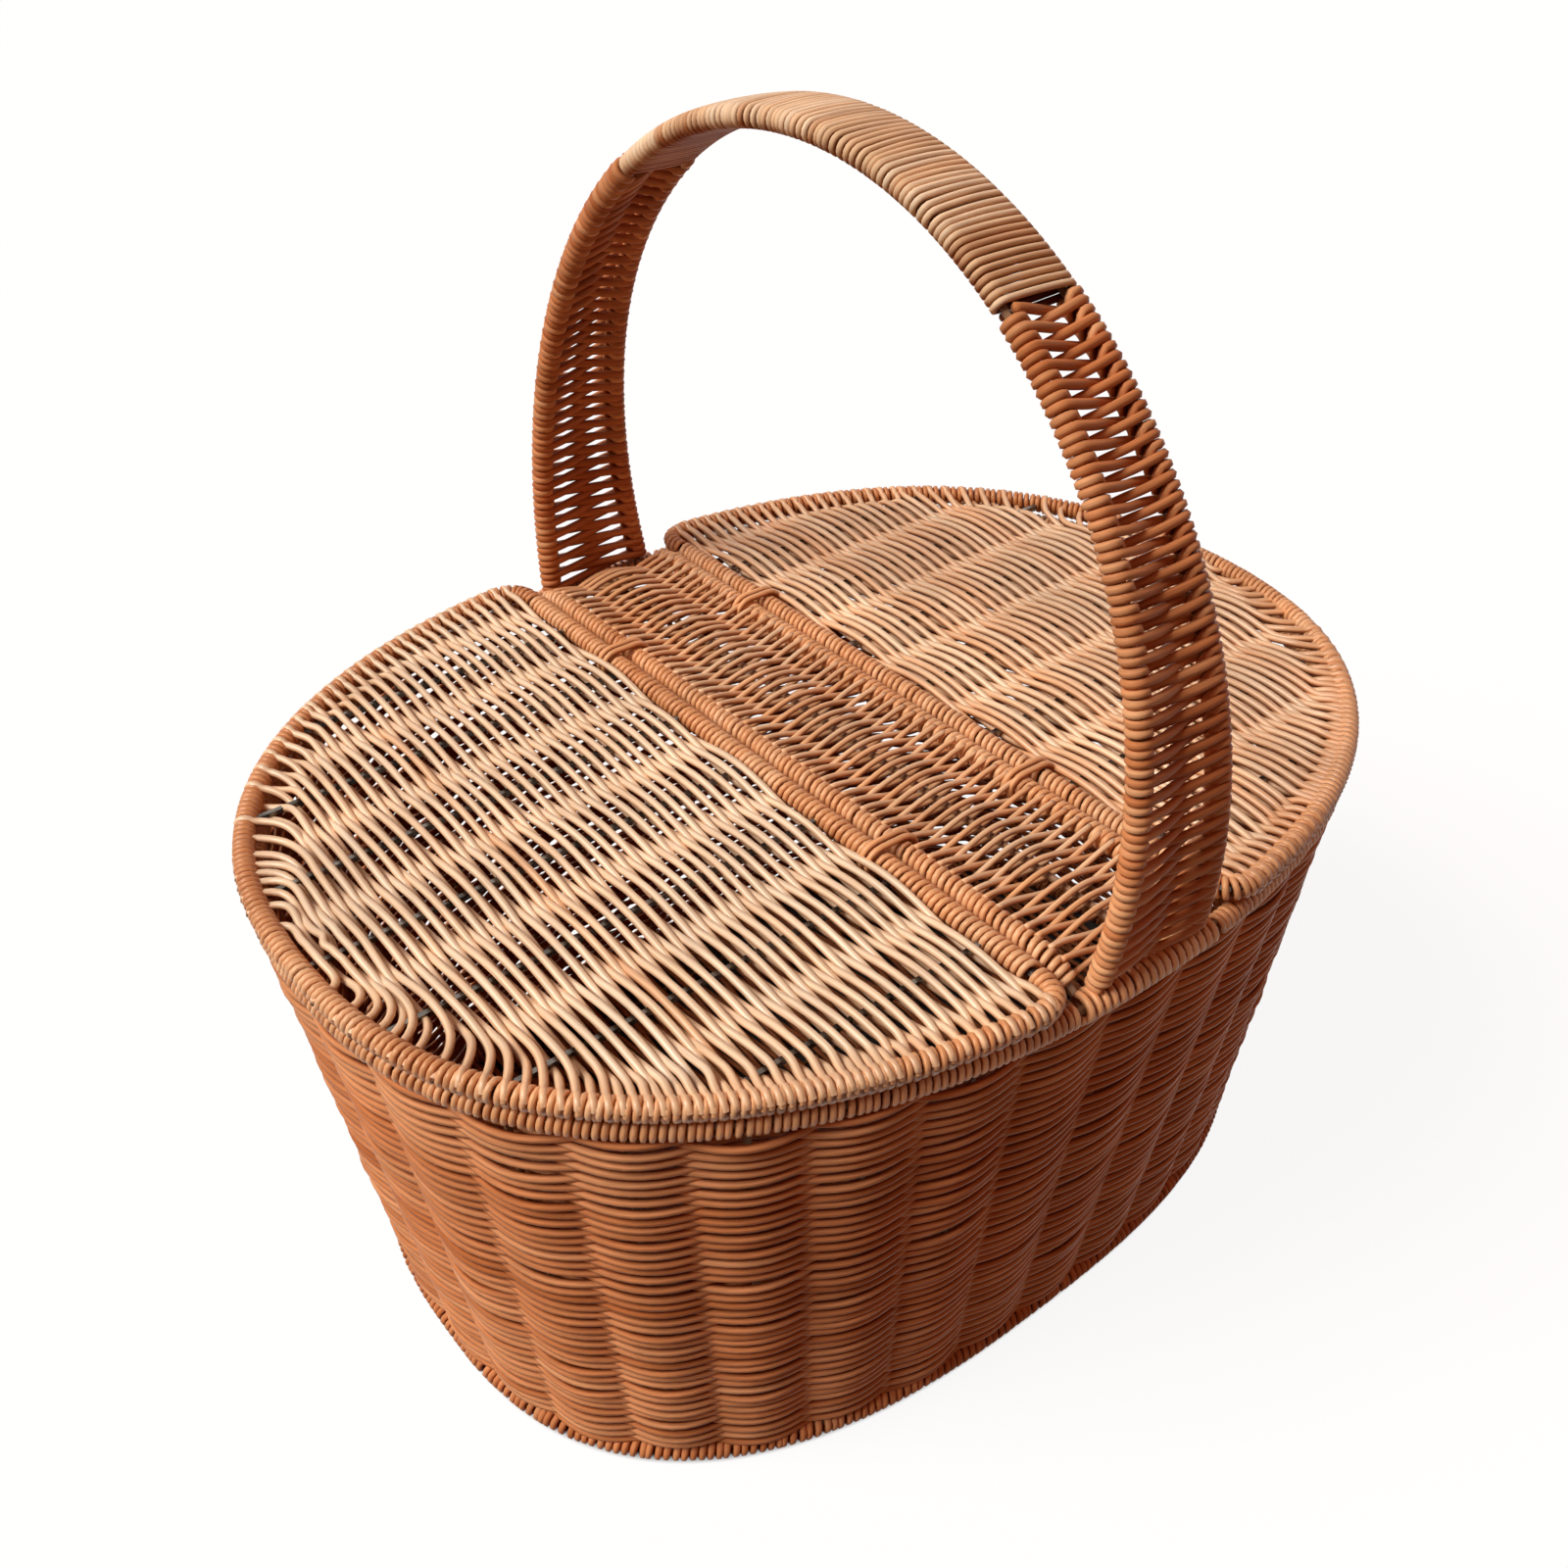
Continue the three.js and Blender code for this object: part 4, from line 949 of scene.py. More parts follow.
@dataclass
class Handle:
    """The fixed arch: two rods, figure-of-eight webs on the legs and a close winding on the grip."""

    foot_level: float = 182.53
    foot_y: float = FOOT_Y
    leg_bottom: float = 190.37
    lid_level: float = TOP_LEVEL
    arch_half: float = 151.6
    arch_base: float = 226.0
    arch_height: float = 165.0
    foot_half: float = 20.4
    grip_half: float = 10.0
    taper: float = 1.5
    samples: int = 1601
    web_seed: int = 31
    web_pitch: float = 5.35
    web_strand: float = 2.8
    back_web_strand: float = 3.1
    web_shares: tuple[float, float, float, float] = (0.55, 0.06, 0.33, 0.06)
    web_power: float = 1.7
    cross_points: int = 14
    wrap_points: int = 7
    leg_stray: float = 0.2
    leg_shade: float = 0.8
    foot_light_lift: float = 1.8
    far_painted_shade: float = 1.0
    edge_seed: int = 35
    edge_points: int = 15
    level_part: float = 0.68
    grip_seed: int = 39
    grip_length: float = 181.0
    grip_turns: int = 76
    grip_strand: float = 2.2
    grip_points: int = 7
    grip_slack: float = 0.2
    grip_crown: float = 0.5
    under_crown: float = 0.4
    grip_slip: Drifts = ((0.42, (0.7,)),)
    grip_skew: Drifts = ((0.5, (2.0,)),)
    grip_shade: Drifts = ((0.56, (0.4,)), (0.4, (6.0,)))
    top_painted_light: float = 0.2
    under_painted_shade: float = 2.6

    def __post_init__(self) -> None:
        """Samples the middle line: nearly straight legs, then half an ellipse."""
        climb = np.linspace(0.0, 1.0, self.samples // 4, endpoint=False)
        leg_y = self.foot_y + (self.arch_half - self.foot_y) * np.sin(climb * math.pi / 2)
        leg_z = self.foot_level + (self.arch_base - self.foot_level) * climb
        angle = np.linspace(0.0, math.pi, self.samples)
        arch_y = -self.arch_half * np.cos(angle)
        arch_z = self.arch_base + self.arch_height * np.sin(angle)
        y = np.concatenate([-leg_y, arch_y, leg_y[::-1]])
        z = np.concatenate([leg_z, arch_z, leg_z[::-1]])
        line = np.stack([np.zeros_like(y), y, z], axis=-1)
        run = unit(np.gradient(line, axis=0))
        self.middle = Rod(line, ACROSS, np.cross(ACROSS, run))

    def half(self, reach: np.ndarray) -> np.ndarray:
        """Half the distance of the rods at lengths along the middle line: a power law of height."""
        height = self.middle.at(reach)[0][..., 2] - self.lid_level
        rise = np.clip(height / (self.arch_base + self.arch_height - self.lid_level), 0.0, 1.0)
        return self.grip_half + (self.foot_half - self.grip_half) * (1.0 - rise) ** self.taper

    def place(self, reach: np.ndarray, across: np.ndarray, over: np.ndarray) -> np.ndarray:
        """Points given by length along the middle line, distance across and distance outward.

        Args:
            reach: Lengths along the middle line.
            across: Distances along X.
            over: Distances away from the inside of the arch.

        Returns:
            Points with a last axis of 3.
        """
        at, out, up = self.middle.at(reach)
        return at + across[..., None] * out + over[..., None] * up

    def leg_span(self, end: End) -> Span:
        """Lengths along the middle line from the rim to the grip, in the order of the line.

        Args:
            end: End of the bridge that the leg stands on.

        Returns:
            Start and stop of the leg.
        """
        start = self.leg_bottom - self.foot_level
        stop = (self.middle.length - self.grip_length) / 2
        if end is End.FRONT:
            return start, stop
        return self.middle.length - stop, self.middle.length - start

    def leg_strand(self, end: End) -> float:
        """Diameter of the strand on a leg."""
        return self.web_strand if end is End.FRONT else self.back_web_strand

    def foot_painted_light(self, end: End, across: np.ndarray) -> np.ndarray:
        """Shade that pales the near leg's left rod towards its foot, as in the photo.

        Args:
            end: End of the bridge that the leg stands on.
            across: Place across for each point from grip to foot, -1 on the left rod and 1 on the right.

        Returns:
            Shade to add at each point.
        """
        # Painted light: the near leg's left rod faces the key light and is painted paler towards its foot.
        fade = self.foot_light_lift if end is End.FRONT else 0.0
        return fade * np.linspace(0.0, 1.0, len(across)) * np.clip(-across, 0.0, 1.0)

    def leg_turns(self, end: End, rng: np.random.Generator,
                  steps: np.ndarray) -> tuple[np.ndarray, np.ndarray]:
        """Turn numbers from the grip down a leg and the lengths along the middle line that they reach.

        Args:
            end: End of the bridge that the leg stands on.
            rng: Seeded source of the stray.
            steps: Shares of one turn at which the strand has points.

        Returns:
            Turn numbers, and lengths along the middle line.
        """
        start, stop = self.leg_span(end)
        first, last = (stop, start) if end is End.FRONT else (start, stop)
        turns = int(round(abs(last - first) / self.web_pitch))
        turn = np.repeat(np.arange(turns), len(steps)) + np.tile(steps, turns)
        stray = eased(turn, rng.standard_normal(turns + 1) * self.leg_stray)
        reach = first + (last - first) * turn / turns + stray * np.sin(math.pi * turn / turns)
        return turn, reach

    def build_web(self, end: End) -> None:
        """Winds a strand in a figure of eight round both rods of a leg.

        Between the rods the strand's depth is minus the path radius times the sine of half pi times its
        place across, so it dives from the front of one rod to the back of the other, and it goes round
        each rod in half a circle. The crossing to the right takes most of a turn's rise, and both
        crossings rise by a power law that leaves them side by side in the middle.

        Args:
            end: End of the bridge that the leg stands on.
        """
        rng = np.random.default_rng(self.web_seed + end.value)
        cross, wrap = self.cross_points, self.wrap_points
        sway = np.linspace(-1.0, 1.0, cross, endpoint=False)
        bend = np.linspace(-math.pi / 2, math.pi / 2, wrap, endpoint=False)
        strand = self.leg_strand(end)
        depth = STOCK.path_radius(STOCK.handle_wire, strand)
        marks = np.concatenate([[0.0], np.cumsum(self.web_shares)])
        ways = [(np.sign(sway) * np.abs(sway) ** self.web_power + 1.0) / 2.0, bend / math.pi + 0.5] * 2
        steps = np.concatenate([low + way * rise for low, way, rise in zip(marks, ways, self.web_shares)])
        still = np.zeros(wrap)
        between = np.concatenate([sway, still + 1.0, -sway, still - 1.0])
        around = np.concatenate([np.zeros(cross), np.cos(bend), np.zeros(cross), -np.cos(bend)]) * depth
        dive = -np.sin(sway * math.pi / 2)
        over = np.concatenate([dive, np.sin(bend), dive, np.sin(bend)]) * depth
        turn, reach = self.leg_turns(end, rng, steps)
        tile = np.arange(len(turn)) % len(steps)
        half = self.half(reach)
        across = between[tile] * half + around[tile]
        paths = self.place(reach, across, over[tile])
        lead = self.place(reach + 1.0, across, over[tile]) - paths
        tone = eased(turn, rng.standard_normal(int(turn[-1]) + 2) * self.leg_shade)
        # Painted light and shade: the near leg's left rod is painted paler towards its foot, and the whole
        # web of the far leg, whose face towards the camera is turned from the key light, is darkened.
        tone += self.foot_painted_light(end, between[tile]) - (self.far_painted_shade if end is End.BACK else 0.0)
        bundle = StrandMesh(f"leg_web_{end.word}")
        bundle.add(paths[None], lead[None], tone[None], strand / 2)
        bundle.piece(RUSSET, "basket", f"handle_web_{end.word}")

    def build_edges(self, end: End) -> None:
        """Winds both rods of a leg, with each turn half-way between two turns of the web.

        A turn goes round the outside of its rod almost level and takes its rise between the rods.

        Args:
            end: End of the bridge that the leg stands on.
        """
        rng = np.random.default_rng(self.edge_seed + end.value)
        strand = self.leg_strand(end)
        radius = STOCK.path_radius(STOCK.handle_wire, strand)
        wrap = self.web_shares[1]
        share = np.arange(self.edge_points) / self.edge_points
        outside = np.minimum(share / self.level_part, 1.0)
        inside = np.maximum(share - self.level_part, 0.0) / (1.0 - self.level_part)
        outermost = {Side.RIGHT: self.web_shares[0] + wrap / 2, Side.LEFT: 1.0 - wrap / 2}
        for side in Side:
            steps = outermost[side] - 0.5 - wrap / 2 + wrap * outside + (1.0 - wrap) * inside
            turn, reach = self.leg_turns(end, rng, steps)
            angle = 2.0 * math.pi * np.tile(share - self.level_part / 2, len(turn) // len(share))
            half = self.half(reach)
            across = side.value * (half + radius * np.cos(angle))
            paths = self.place(reach, across, radius * np.sin(angle))
            lead = self.place(reach, side.value * half, np.zeros_like(reach)) - paths
            tone = eased(turn, rng.standard_normal(int(turn[-1]) + 2) * self.leg_shade)
            # Painted light on the near leg's left rod, paler towards its foot.
            tone += self.foot_painted_light(end, np.full(len(turn), float(side.value)))
            bundle = StrandMesh(f"leg_winding_{end.word}_{side.word}")
            bundle.add(paths[None], lead[None], tone[None], strand / 2)
            bundle.piece(LEG_EDGE, "basket", f"handle_edge_binding_{end.word}_{side.word}")

    def build_grip(self) -> None:
        """Winds the grip: close turns round both rods, each a long ring with a slightly crowned face.

        The winding also stands for the strip that it hides.
        """
        rng = np.random.default_rng(self.grip_seed)
        flat, bow = np.zeros(self.grip_points), np.ones(self.grip_points)
        sway = np.linspace(-1.0, 1.0, self.grip_points, endpoint=False)
        bend = np.linspace(-math.pi / 2, math.pi / 2, self.grip_points, endpoint=False)
        depth = STOCK.path_radius(STOCK.handle_wire, self.grip_strand) + self.grip_slack
        between = np.concatenate([sway, bow, -sway, -bow])
        around = np.concatenate([flat, np.cos(bend), flat, -np.cos(bend)]) * depth
        crown = self.grip_crown * (1.0 - sway**2)
        low, high, side = -depth - self.under_crown * crown, depth + crown, np.sin(bend) * depth
        over = np.concatenate([low, side, high, -side])
        turn = np.arange(self.grip_turns * len(over) + 1) / len(over)
        tile = np.arange(len(turn)) % len(over)
        knots = (self.grip_turns + 1,)
        stray = eased(turn, drifts(rng, knots, self.grip_slip))
        stray += between[tile] * eased(turn, drifts(rng, knots, self.grip_skew))
        span = self.grip_length - self.grip_strand
        reach = (self.middle.length - span) / 2 + span * turn / self.grip_turns
        reach += stray * np.sin(math.pi * turn / self.grip_turns)
        half = self.half(reach)
        paths = self.place(reach, between[tile] * half + around[tile], over[tile])
        lead = self.place(reach, between[tile] * half, np.zeros_like(reach)) - paths
        # Painted light and shade: the grip's top, towards the key light, is painted a little paler and its
        # underside, turned away from it, much darker.
        up_facing = np.clip(over[tile] / depth, -1.0, 1.0)
        tone = eased(turn, drifts(rng, knots, self.grip_shade))
        tone += np.where(up_facing < 0.0, self.under_painted_shade, self.top_painted_light) * up_facing
        bundle = StrandMesh("grip_strand")
        bundle.add(paths[None], lead[None], tone[None], self.grip_strand / 2)
        bundle.piece(GRIP_TAN, "basket", "grip_winding", "handle_web_top")

    def build(self) -> None:
        """Builds both legs and the grip, and dresses the rods."""
        for end in End:
            self.build_web(end)
            self.build_edges(end)
        self.build_grip()
        BROWN_WIRE.dress("handle_rod_left", "handle_rod_right")


@dataclass
class Lid:
    """A D-shaped lid: a woven panel in a wound rod that hinges beside the bridge."""

    side: Side
    oval: Oval = field(default_factory=lambda: Oval(196.0, 152.0, 2.3))
    level: float = TOP_LEVEL
    hinge_x: float = HINGE_X
    corner: float = 12.0
    corner_cut: float = 7.0
    corner_samples: int = 60
    rim_samples: int = 901
    weave_seed: int = 51
    stake_pitch: float = 38.0
    stake_shift: float = -4.0
    stake_margin: float = 5.0
    strand_pitch: float = 2.41
    strand: float = 2.66
    wave: float = 2.5
    first: float = 40.6
    last: float = 190.4
    depth: float = 4.4
    straight_points: int = 58
    bend_points: int = 11
    bend_length: float = 27.0
    bend_limit: float = 0.7
    bend_pull: float = 0.45
    lean_from: float = 0.6
    lean_width: float = 0.38
    reach_parts: Pair = (0.34, 0.66)
    landing_parts: Pair = (0.12, 0.28)
    landing_limit: float = 0.5
    square_parts: Pair = (0.45, 0.45)
    front_slant: float = 0.3
    tip_slant: float = 0.84
    tip_over: float = 0.35
    wrap_points: int = 12
    wrap_slack: float = 0.25
    wrap_start: float = 140.0
    wrap_over: float = -150.0
    wrap_under: float = 60.0
    stray: Drifts = ((0.5, (3.0, 9.0)), (0.22, (0.4, 9.0)))
    shade: Drifts = ((0.42, (0.4, 70.0)), (0.2, (3.0, 12.0)))
    hold_from: float = 0.6
    edge_strands: float = 3.0
    edge_hold: float = 0.15
    front_stain: float = 1.6
    back_stain: float = 0.5
    side_light_and_shade: float = 0.6
    winding_seed: int = 55
    rim_gap: float = 0.6
    rim_fade: Fade = ((0.0, 0.36, 0.5, 1.0), (-2.6, -2.2, 0.0, 0.0))
    hinge_gap: float = 0.9
    hinge_samples: int = 601

    @property
    def body(self) -> str:
        """Name of the lid's body."""
        return f"lid_{self.side.word}"

    @property
    def hinge_end(self) -> float:
        """Distance along Y from the middle to the corner, where hinge run and rim would meet."""
        return float(self.oval.width_at(np.array(self.hinge_x)))

    def outline(self) -> Rod:
        """The rim rod from one end of the hinge run round to the other, laid on the right and mirrored.

        Returns:
            The rod, with out pointing away from the panel.
        """
        start_x = self.hinge_x + self.corner
        stop = np.array([start_x, float(self.oval.width_at(np.array(start_x)))])
        start = np.array([self.hinge_x, self.hinge_end - self.corner])
        knee = np.array([self.hinge_x, self.hinge_end])
        t = np.linspace(0.0, 1.0, self.corner_samples)[:, None]
        bend = (1 - t) ** 2 * start + 2 * t * (1 - t) * knee + t**2 * stop
        share = self.oval.share_at(start_x)
        arc = self.oval.at(np.linspace(share, -share, self.rim_samples))[1:-1]
        lead_in = np.array([[self.hinge_x, self.hinge_end - self.corner - STOCK.strand]])
        upper = np.concatenate([lead_in, bend])
        plan = np.concatenate([upper, arc, upper[::-1] * np.array([1.0, -1.0])])
        run = unit(np.gradient(plan, axis=0))
        out = np.stack([-run[:, 1], run[:, 0]], axis=-1)
        mirror = np.array([self.side.value, 1.0, 1.0])
        return Rod(raised(plan, self.level) * mirror, raised(out, 0.0) * mirror, UP)

    def panel_width(self, x: np.ndarray) -> np.ndarray:
        """Half width of the panel at x, inside the rim's winding and the rounded corners."""
        lost = np.clip(1.0 - (x - self.hinge_x) / self.corner, 0.0, 1.0)
        return self.oval.inset(self.depth).width_at(x) - self.corner_cut * lost**2

    @staticmethod
    def leaned(parts: Pair, lean: np.ndarray) -> np.ndarray:
        """The first part plus the second times the lean."""
        return parts[0] + parts[1] * lean

    def end_path(self, x: np.ndarray, order: np.ndarray, end: int) -> np.ndarray:
        """The end of each strand: a bend towards the rim's normal, then a wrap round the rim rod.

        The bend is a cubic Bezier curve in plan that starts along Y and arrives along the rim's normal;
        the wrap is an arc about the rim's centre line in the plane of the normal and Z.

        Args:
            x: Places of the strands along X.
            order: Sign of each strand over the middle stake.
            end: 1 at the back, -1 at the front.

        Returns:
            Strands by points by 3, from the panel outwards, on the right lid.
        """
        free = self.oval.inset(self.depth)
        slant = free.out(np.stack([x, free.width_at(x)], axis=-1))[:, 0]
        lean = smooth_step((slant - self.lean_from) / self.lean_width)
        reach = self.bend_length * self.leaned(self.reach_parts, lean)
        shift = reach * slant * self.leaned(self.landing_parts, lean)
        landing = x + np.minimum(shift, self.landing_limit * (free.half_length - x))
        edge = self.panel_width(landing)
        inner = np.stack([landing, edge * end], axis=-1)
        along = np.array([0.0, float(end)])
        normal = self.oval.out(inner)
        square = self.leaned(self.square_parts, lean)[:, None]
        toward = unit(normal * square + along * (1.0 - square))
        centre = inner + normal * self.depth
        last_stake = np.floor((edge - self.stake_margin - self.stake_shift * end) / self.stake_pitch)
        woven = -np.where(last_stake % 2 == 0, 1.0, -1.0) * order
        over = np.where((slant > self.front_slant) & (end < 0), 1.0, woven)
        over = np.where(slant > self.tip_slant, self.tip_over, over)
        length = np.minimum(reach, self.bend_limit * edge)
        start = np.stack([x, (edge - length) * end], axis=-1)
        radius = STOCK.path_radius(STOCK.frame_wire, STOCK.strand) + self.wrap_slack
        rise = math.radians(self.wrap_start)
        stop = centre + toward * radius * math.cos(rise)
        pull = self.bend_pull * np.linalg.norm(stop - start, axis=-1, keepdims=True)
        leave, arrive = start + along * pull, stop - toward * pull
        t = np.linspace(0.0, 1.0, self.bend_points)[None, :, None]
        bend = (1 - t) ** 3 * start[:, None] + 3 * t * (1 - t) ** 2 * leave[:, None]
        bend = bend + 3 * t**2 * (1 - t) * arrive[:, None] + t**3 * stop[:, None]
        blend = smooth_step(np.linspace(0.0, 1.0, self.bend_points))[None]
        wave = self.lift(bend[..., 1], order)
        z = wave * (1.0 - blend) + over[:, None] * radius * math.sin(rise) * blend
        first = raised(bend, self.level + z)
        finish = np.where(over > 0, math.radians(self.wrap_over), math.radians(self.wrap_under))
        angle = np.linspace(np.full_like(finish, rise), finish, self.wrap_points + 1, axis=1)[:, 1:]
        plan = centre[:, None] + toward[:, None] * radius * np.cos(angle)[..., None]
        high = self.level + over[:, None] * radius * np.sin(angle)
        return np.concatenate([first, raised(plan, high)], axis=1)

    def lift(self, y: np.ndarray, order: np.ndarray) -> np.ndarray:
        """Height over the stakes' line: wave times the cosine of pi times the stake number, signed."""
        return self.wave * np.cos(math.pi * (y - self.stake_shift) / self.stake_pitch) * order[:, None]

    def build_weave(self) -> None:
        """Weaves the panel: strands along Y over and under the stakes, each end wrapped on the rim."""
        rng = np.random.default_rng(self.weave_seed + self.side.value)
        count = int((self.last - self.first) / self.strand_pitch) + 1
        x = self.first + np.arange(count) * (self.last - self.first) / (count - 1)
        order = alternate(count)
        back, front = self.end_path(x, order, 1), self.end_path(x, order, -1)
        share = np.linspace(0.0, 1.0, self.straight_points + 2)[1:-1]
        y = front[:, :1, 1] + (back[:, :1, 1] - front[:, :1, 1]) * share
        z = self.level + self.lift(y, order)
        straight = np.stack([np.broadcast_to(x[:, None], y.shape), y, z], axis=-1)
        paths = np.concatenate([front[:, ::-1], straight, back], axis=1)
        shape = paths.shape[:2]
        point, strand = np.arange(shape[1]), np.arange(count)
        wrapped = self.wrap_points + 2
        near = smooth_step(point / wrapped - self.hold_from)
        hold = smooth_step(np.minimum(point, point[::-1]) / wrapped - self.hold_from)
        edge = smooth_step(np.minimum(strand, strand[::-1]) / self.edge_strands + self.edge_hold)
        paths[..., 0] += drifts(rng, shape, self.stray) * hold[None] * edge[:, None]
        paths[..., 0] *= self.side.value
        # Painted shade: the strand ends darken as they wrap down over the rim, more at the front than at the
        # back.
        tone = drifts(rng, shape, self.shade) * hold - self.front_stain * (1.0 - near)
        # Painted light and shade: the near, left lid is painted paler and the far, right lid darker.
        tone -= self.back_stain * (near - hold) + self.side_light_and_shade * self.side.value
        bundle = StrandMesh(f"lid_{self.side.word}_strands")
        bundle.add(paths, -UP, tone, self.strand / 2)
        bundle.piece(TAN, self.body, f"lid_{self.side.word}_weave")

    def build_windings(self) -> None:
        """Winds the rim rod round its curve and the hinge rod between its corners."""
        rng = np.random.default_rng(self.winding_seed + self.side.value)
        rod = self.outline()
        bundle = StrandMesh(f"lid_{self.side.word}_rim_strand")
        span = self.rim_gap, rod.length - self.rim_gap
        wind(bundle, rod, span, STOCK.frame_wire, rng, fade=self.rim_fade)
        bundle.piece(HONEY, self.body, f"lid_{self.side.word}_rim_binding")
        end = self.hinge_end - self.corner - STOCK.strand - self.hinge_gap
        y = np.linspace(-end, end, self.hinge_samples)
        x, z = np.full_like(y, self.side.value * self.hinge_x), np.full_like(y, self.level)
        rod = Rod(np.stack([x, y, z], axis=-1), -ACROSS * self.side.value, UP)
        bundle = StrandMesh(f"lid_{self.side.word}_hinge_strand")
        wind(bundle, rod, (0.0, 2 * end), STOCK.frame_wire, rng, pitch=STOCK.fine_pitch, strand=STOCK.fine,
             fade=STOCK.fine_fade)
        bundle.piece(HONEY, self.body, f"lid_{self.side.word}_hinge_binding")

    def build(self) -> None:
        """Builds the panel and the windings, and dresses the wire frame."""
        self.build_weave()
        self.build_windings()
        ZINC.dress(f"lid_{self.side.word}_wire_frame")


@dataclass
class HingeTies:
    """Strand ties that hold each lid's hinge rod beside the bridge's edge rod."""

    inner: float = BRIDGE_HALF
    outer: float = HINGE_X
    level: float = TOP_LEVEL
    back: float = 80.0
    front: float = -69.0
    turns: int = 2
    pitch: float = 3.1
    radius: float = 5.05
    steps: int = 9
    sides: int = 8

    def build(self) -> None:
        """Winds each tie: turns of a long ring round both rods that step along Y by the pitch."""
        bow = np.linspace(-math.pi / 2, math.pi / 2, self.steps)
        half = (self.outer - self.inner) / 2
        a = np.concatenate([half + self.radius * np.cos(bow), -half - self.radius * np.cos(bow)])
        b = np.concatenate([self.radius * np.sin(bow), -self.radius * np.sin(bow)])
        per = len(a)
        tile = np.arange(self.turns * per) % per
        share = (np.arange(self.turns * per) + 0.5) / per
        for side in Side:
            for end in End:
                y = self.back if end is End.BACK else self.front
                along = y + (share - self.turns / 2) * self.pitch
                middle = side.value * (self.inner + half)
                paths = np.stack([middle + a[tile], along, self.level + b[tile]], axis=-1)
                core = middle + np.clip(a[tile], -half, half)
                centre = np.stack([core, along, np.full_like(along, self.level)], axis=-1)
                bundle = StrandMesh(f"tie_{side.word}_{end.word}", sides=self.sides)
                bundle.add(paths[None], (centre - paths)[None], np.zeros((1, 1)), STOCK.strand / 2)
                bundle.piece(HONEY, "basket", f"hinge_tie_{side.word}_{end.word}")


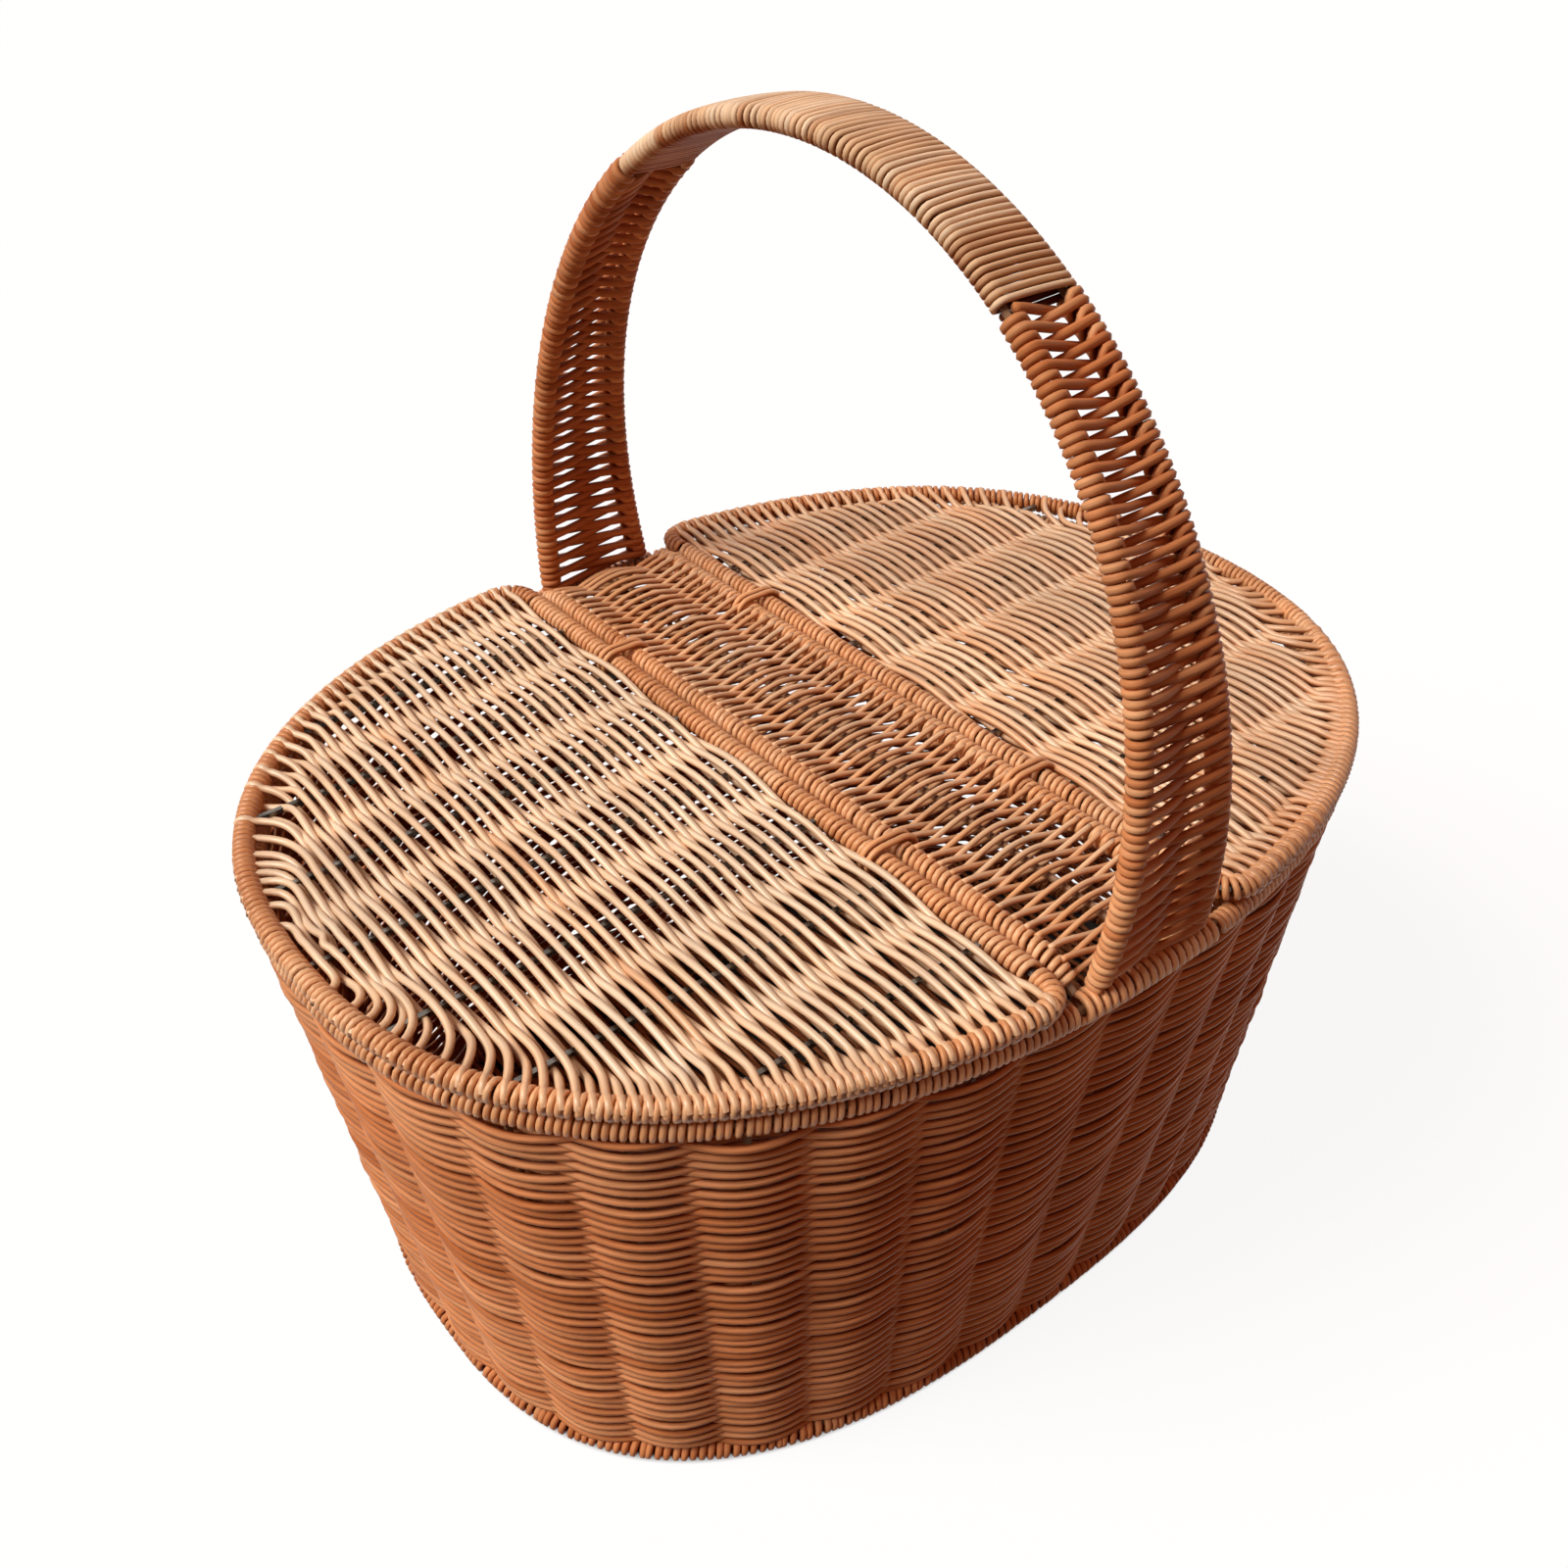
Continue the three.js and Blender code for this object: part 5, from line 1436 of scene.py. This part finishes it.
@dataclass
class Studio:
    """Pale floor, soft key light from the upper left, low fill and the photograph's viewpoint."""

    eye: Triple = (-0.2859, -0.3508, 0.4984)
    target: Triple = (0.0, 0.0, 0.147)
    lens: float = 35.81
    sensor: float = 36.0
    shift: Pair = (-0.0262, 0.0284)
    clip: Span = (0.01, 50.0)
    key_from: Triple = (-0.64, 0.20, 0.72)
    key_strength: float = 3.18
    key_color: Color = (0.955, 1.0, 1.0)
    key_angle: float = 34.0
    fill_color: Color = (1.0, 0.36, 0.17)
    fill_heights: Span = (-0.1, 0.9)
    fill_strength: Span = (0.07, 0.28)
    floor_half: float = 6.0
    floor_color: Color = (0.12, 0.108, 0.096)
    floor_glow: float = 0.91
    glow_edge: Span = (0.95, 1.0)
    tub_half: Pair = (0.179, 0.131)
    tub_power: float = 2.62

    def build_camera(self) -> None:
        """Places the camera and looks at the middle of the basket."""
        data = bpy.data.cameras.new("camera")
        data.sensor_width = self.sensor
        data.lens = self.lens
        data.shift_x, data.shift_y = self.shift
        data.clip_start, data.clip_end = self.clip
        camera = bpy.data.objects.new("camera", data)
        bpy.context.scene.collection.objects.link(camera)
        camera.location = Vector(self.eye)
        look = Vector(self.target) - Vector(self.eye)
        camera.rotation_euler = look.to_track_quat("-Z", "Y").to_euler()
        bpy.context.scene.camera = camera

    def build_light(self) -> None:
        """Sets the key lamp and the world, a fill that grows with height and that is seen as white."""
        data = bpy.data.lights.new("key", "SUN")
        data.energy = self.key_strength
        data.color = self.key_color
        data.angle = math.radians(self.key_angle)
        key = bpy.data.objects.new("key", data)
        bpy.context.scene.collection.objects.link(key)
        key.rotation_euler = Vector(self.key_from).to_track_quat("Z", "Y").to_euler()
        world = bpy.data.worlds.new("studio")
        bpy.context.scene.world = world
        graph = Graph(world, bare=True)
        place = graph.add("TexCoord").outputs["Generated"]
        height = graph.add("SeparateXYZ", {"Vector": place}).outputs["Z"]
        strength = graph.mapped(height, self.fill_heights, self.fill_strength)
        fill = graph.add("Background", {"Color": (*self.fill_color, 1.0), "Strength": strength})
        white = graph.add("Background", {"Color": WHITE, "Strength": 1.0})
        both = {"Fac": graph.seen(), 1: fill.outputs["Background"], 2: white.outputs["Background"]}
        graph.add("OutputWorld", {"Surface": graph.add("MixShader", both).outputs["Shader"]})

    def build_floor(self) -> None:
        """Lays the floor, which is seen as white with a soft shadow and dark under the tub.

        The glow fades out where |x/a|^p + |y/b|^p falls below 1, with p that of the base oval and with a
        and b reaching to the outside of its winding.
        """
        half = self.floor_half
        corners = [(-half, -half, 0), (half, -half, 0), (half, half, 0), (-half, half, 0)]
        mesh = bpy.data.meshes.new("floor")
        mesh.from_pydata(corners, [], [(0, 1, 2, 3)])
        floor = bpy.data.objects.new("floor", mesh)
        bpy.context.scene.collection.objects.link(floor)
        material = bpy.data.materials.new("pale_floor")
        graph = Graph(material, bare=True)
        diffuse = graph.add("BsdfDiffuse", {"Color": (*self.floor_color, 1.0)}).outputs["BSDF"]
        place = graph.add("TexCoord").outputs["Object"]
        scaled = graph.add("VectorMath", {0: place, 1: (*self.tub_half, 1.0)}, operation="DIVIDE")
        split = graph.add("SeparateXYZ", {"Vector": scaled.outputs["Vector"]}).outputs
        sizes = [graph.math("POWER", graph.math("ABSOLUTE", split[axis]), self.tub_power) for axis in "XY"]
        strength = graph.mapped(graph.math("ADD", *sizes), self.glow_edge, (0.0, self.floor_glow))
        glow = graph.add("Emission", {"Color": WHITE, "Strength": strength}).outputs["Emission"]
        dark = graph.add("Emission", {"Strength": 0.0}).outputs["Emission"]
        lifted = graph.add("MixShader", {"Fac": graph.seen(), 1: dark, 2: glow}).outputs["Shader"]
        total = graph.add("AddShader", {0: diffuse, 1: lifted}).outputs["Shader"]
        graph.add("OutputMaterial", {"Surface": total})
        mesh.materials.append(material)

    def build(self) -> None:
        """Builds the camera, the light and the floor."""
        self.build_camera()
        self.build_light()
        self.build_floor()
        bpy.context.scene.view_settings.view_transform = "Standard"


def main() -> None:
    """Builds the tub, the bridge, the handle, the lids and the ties, then the studio."""
    logging.basicConfig(level=logging.INFO, format="%(name)s %(message)s")
    tub = Tub()
    tub.build()
    Bridge(tub).build()
    Handle().build()
    for side in Side:
        Lid(side).build()
    HingeTies().build()
    Studio().build()


if __name__ == "__main__":
    main()
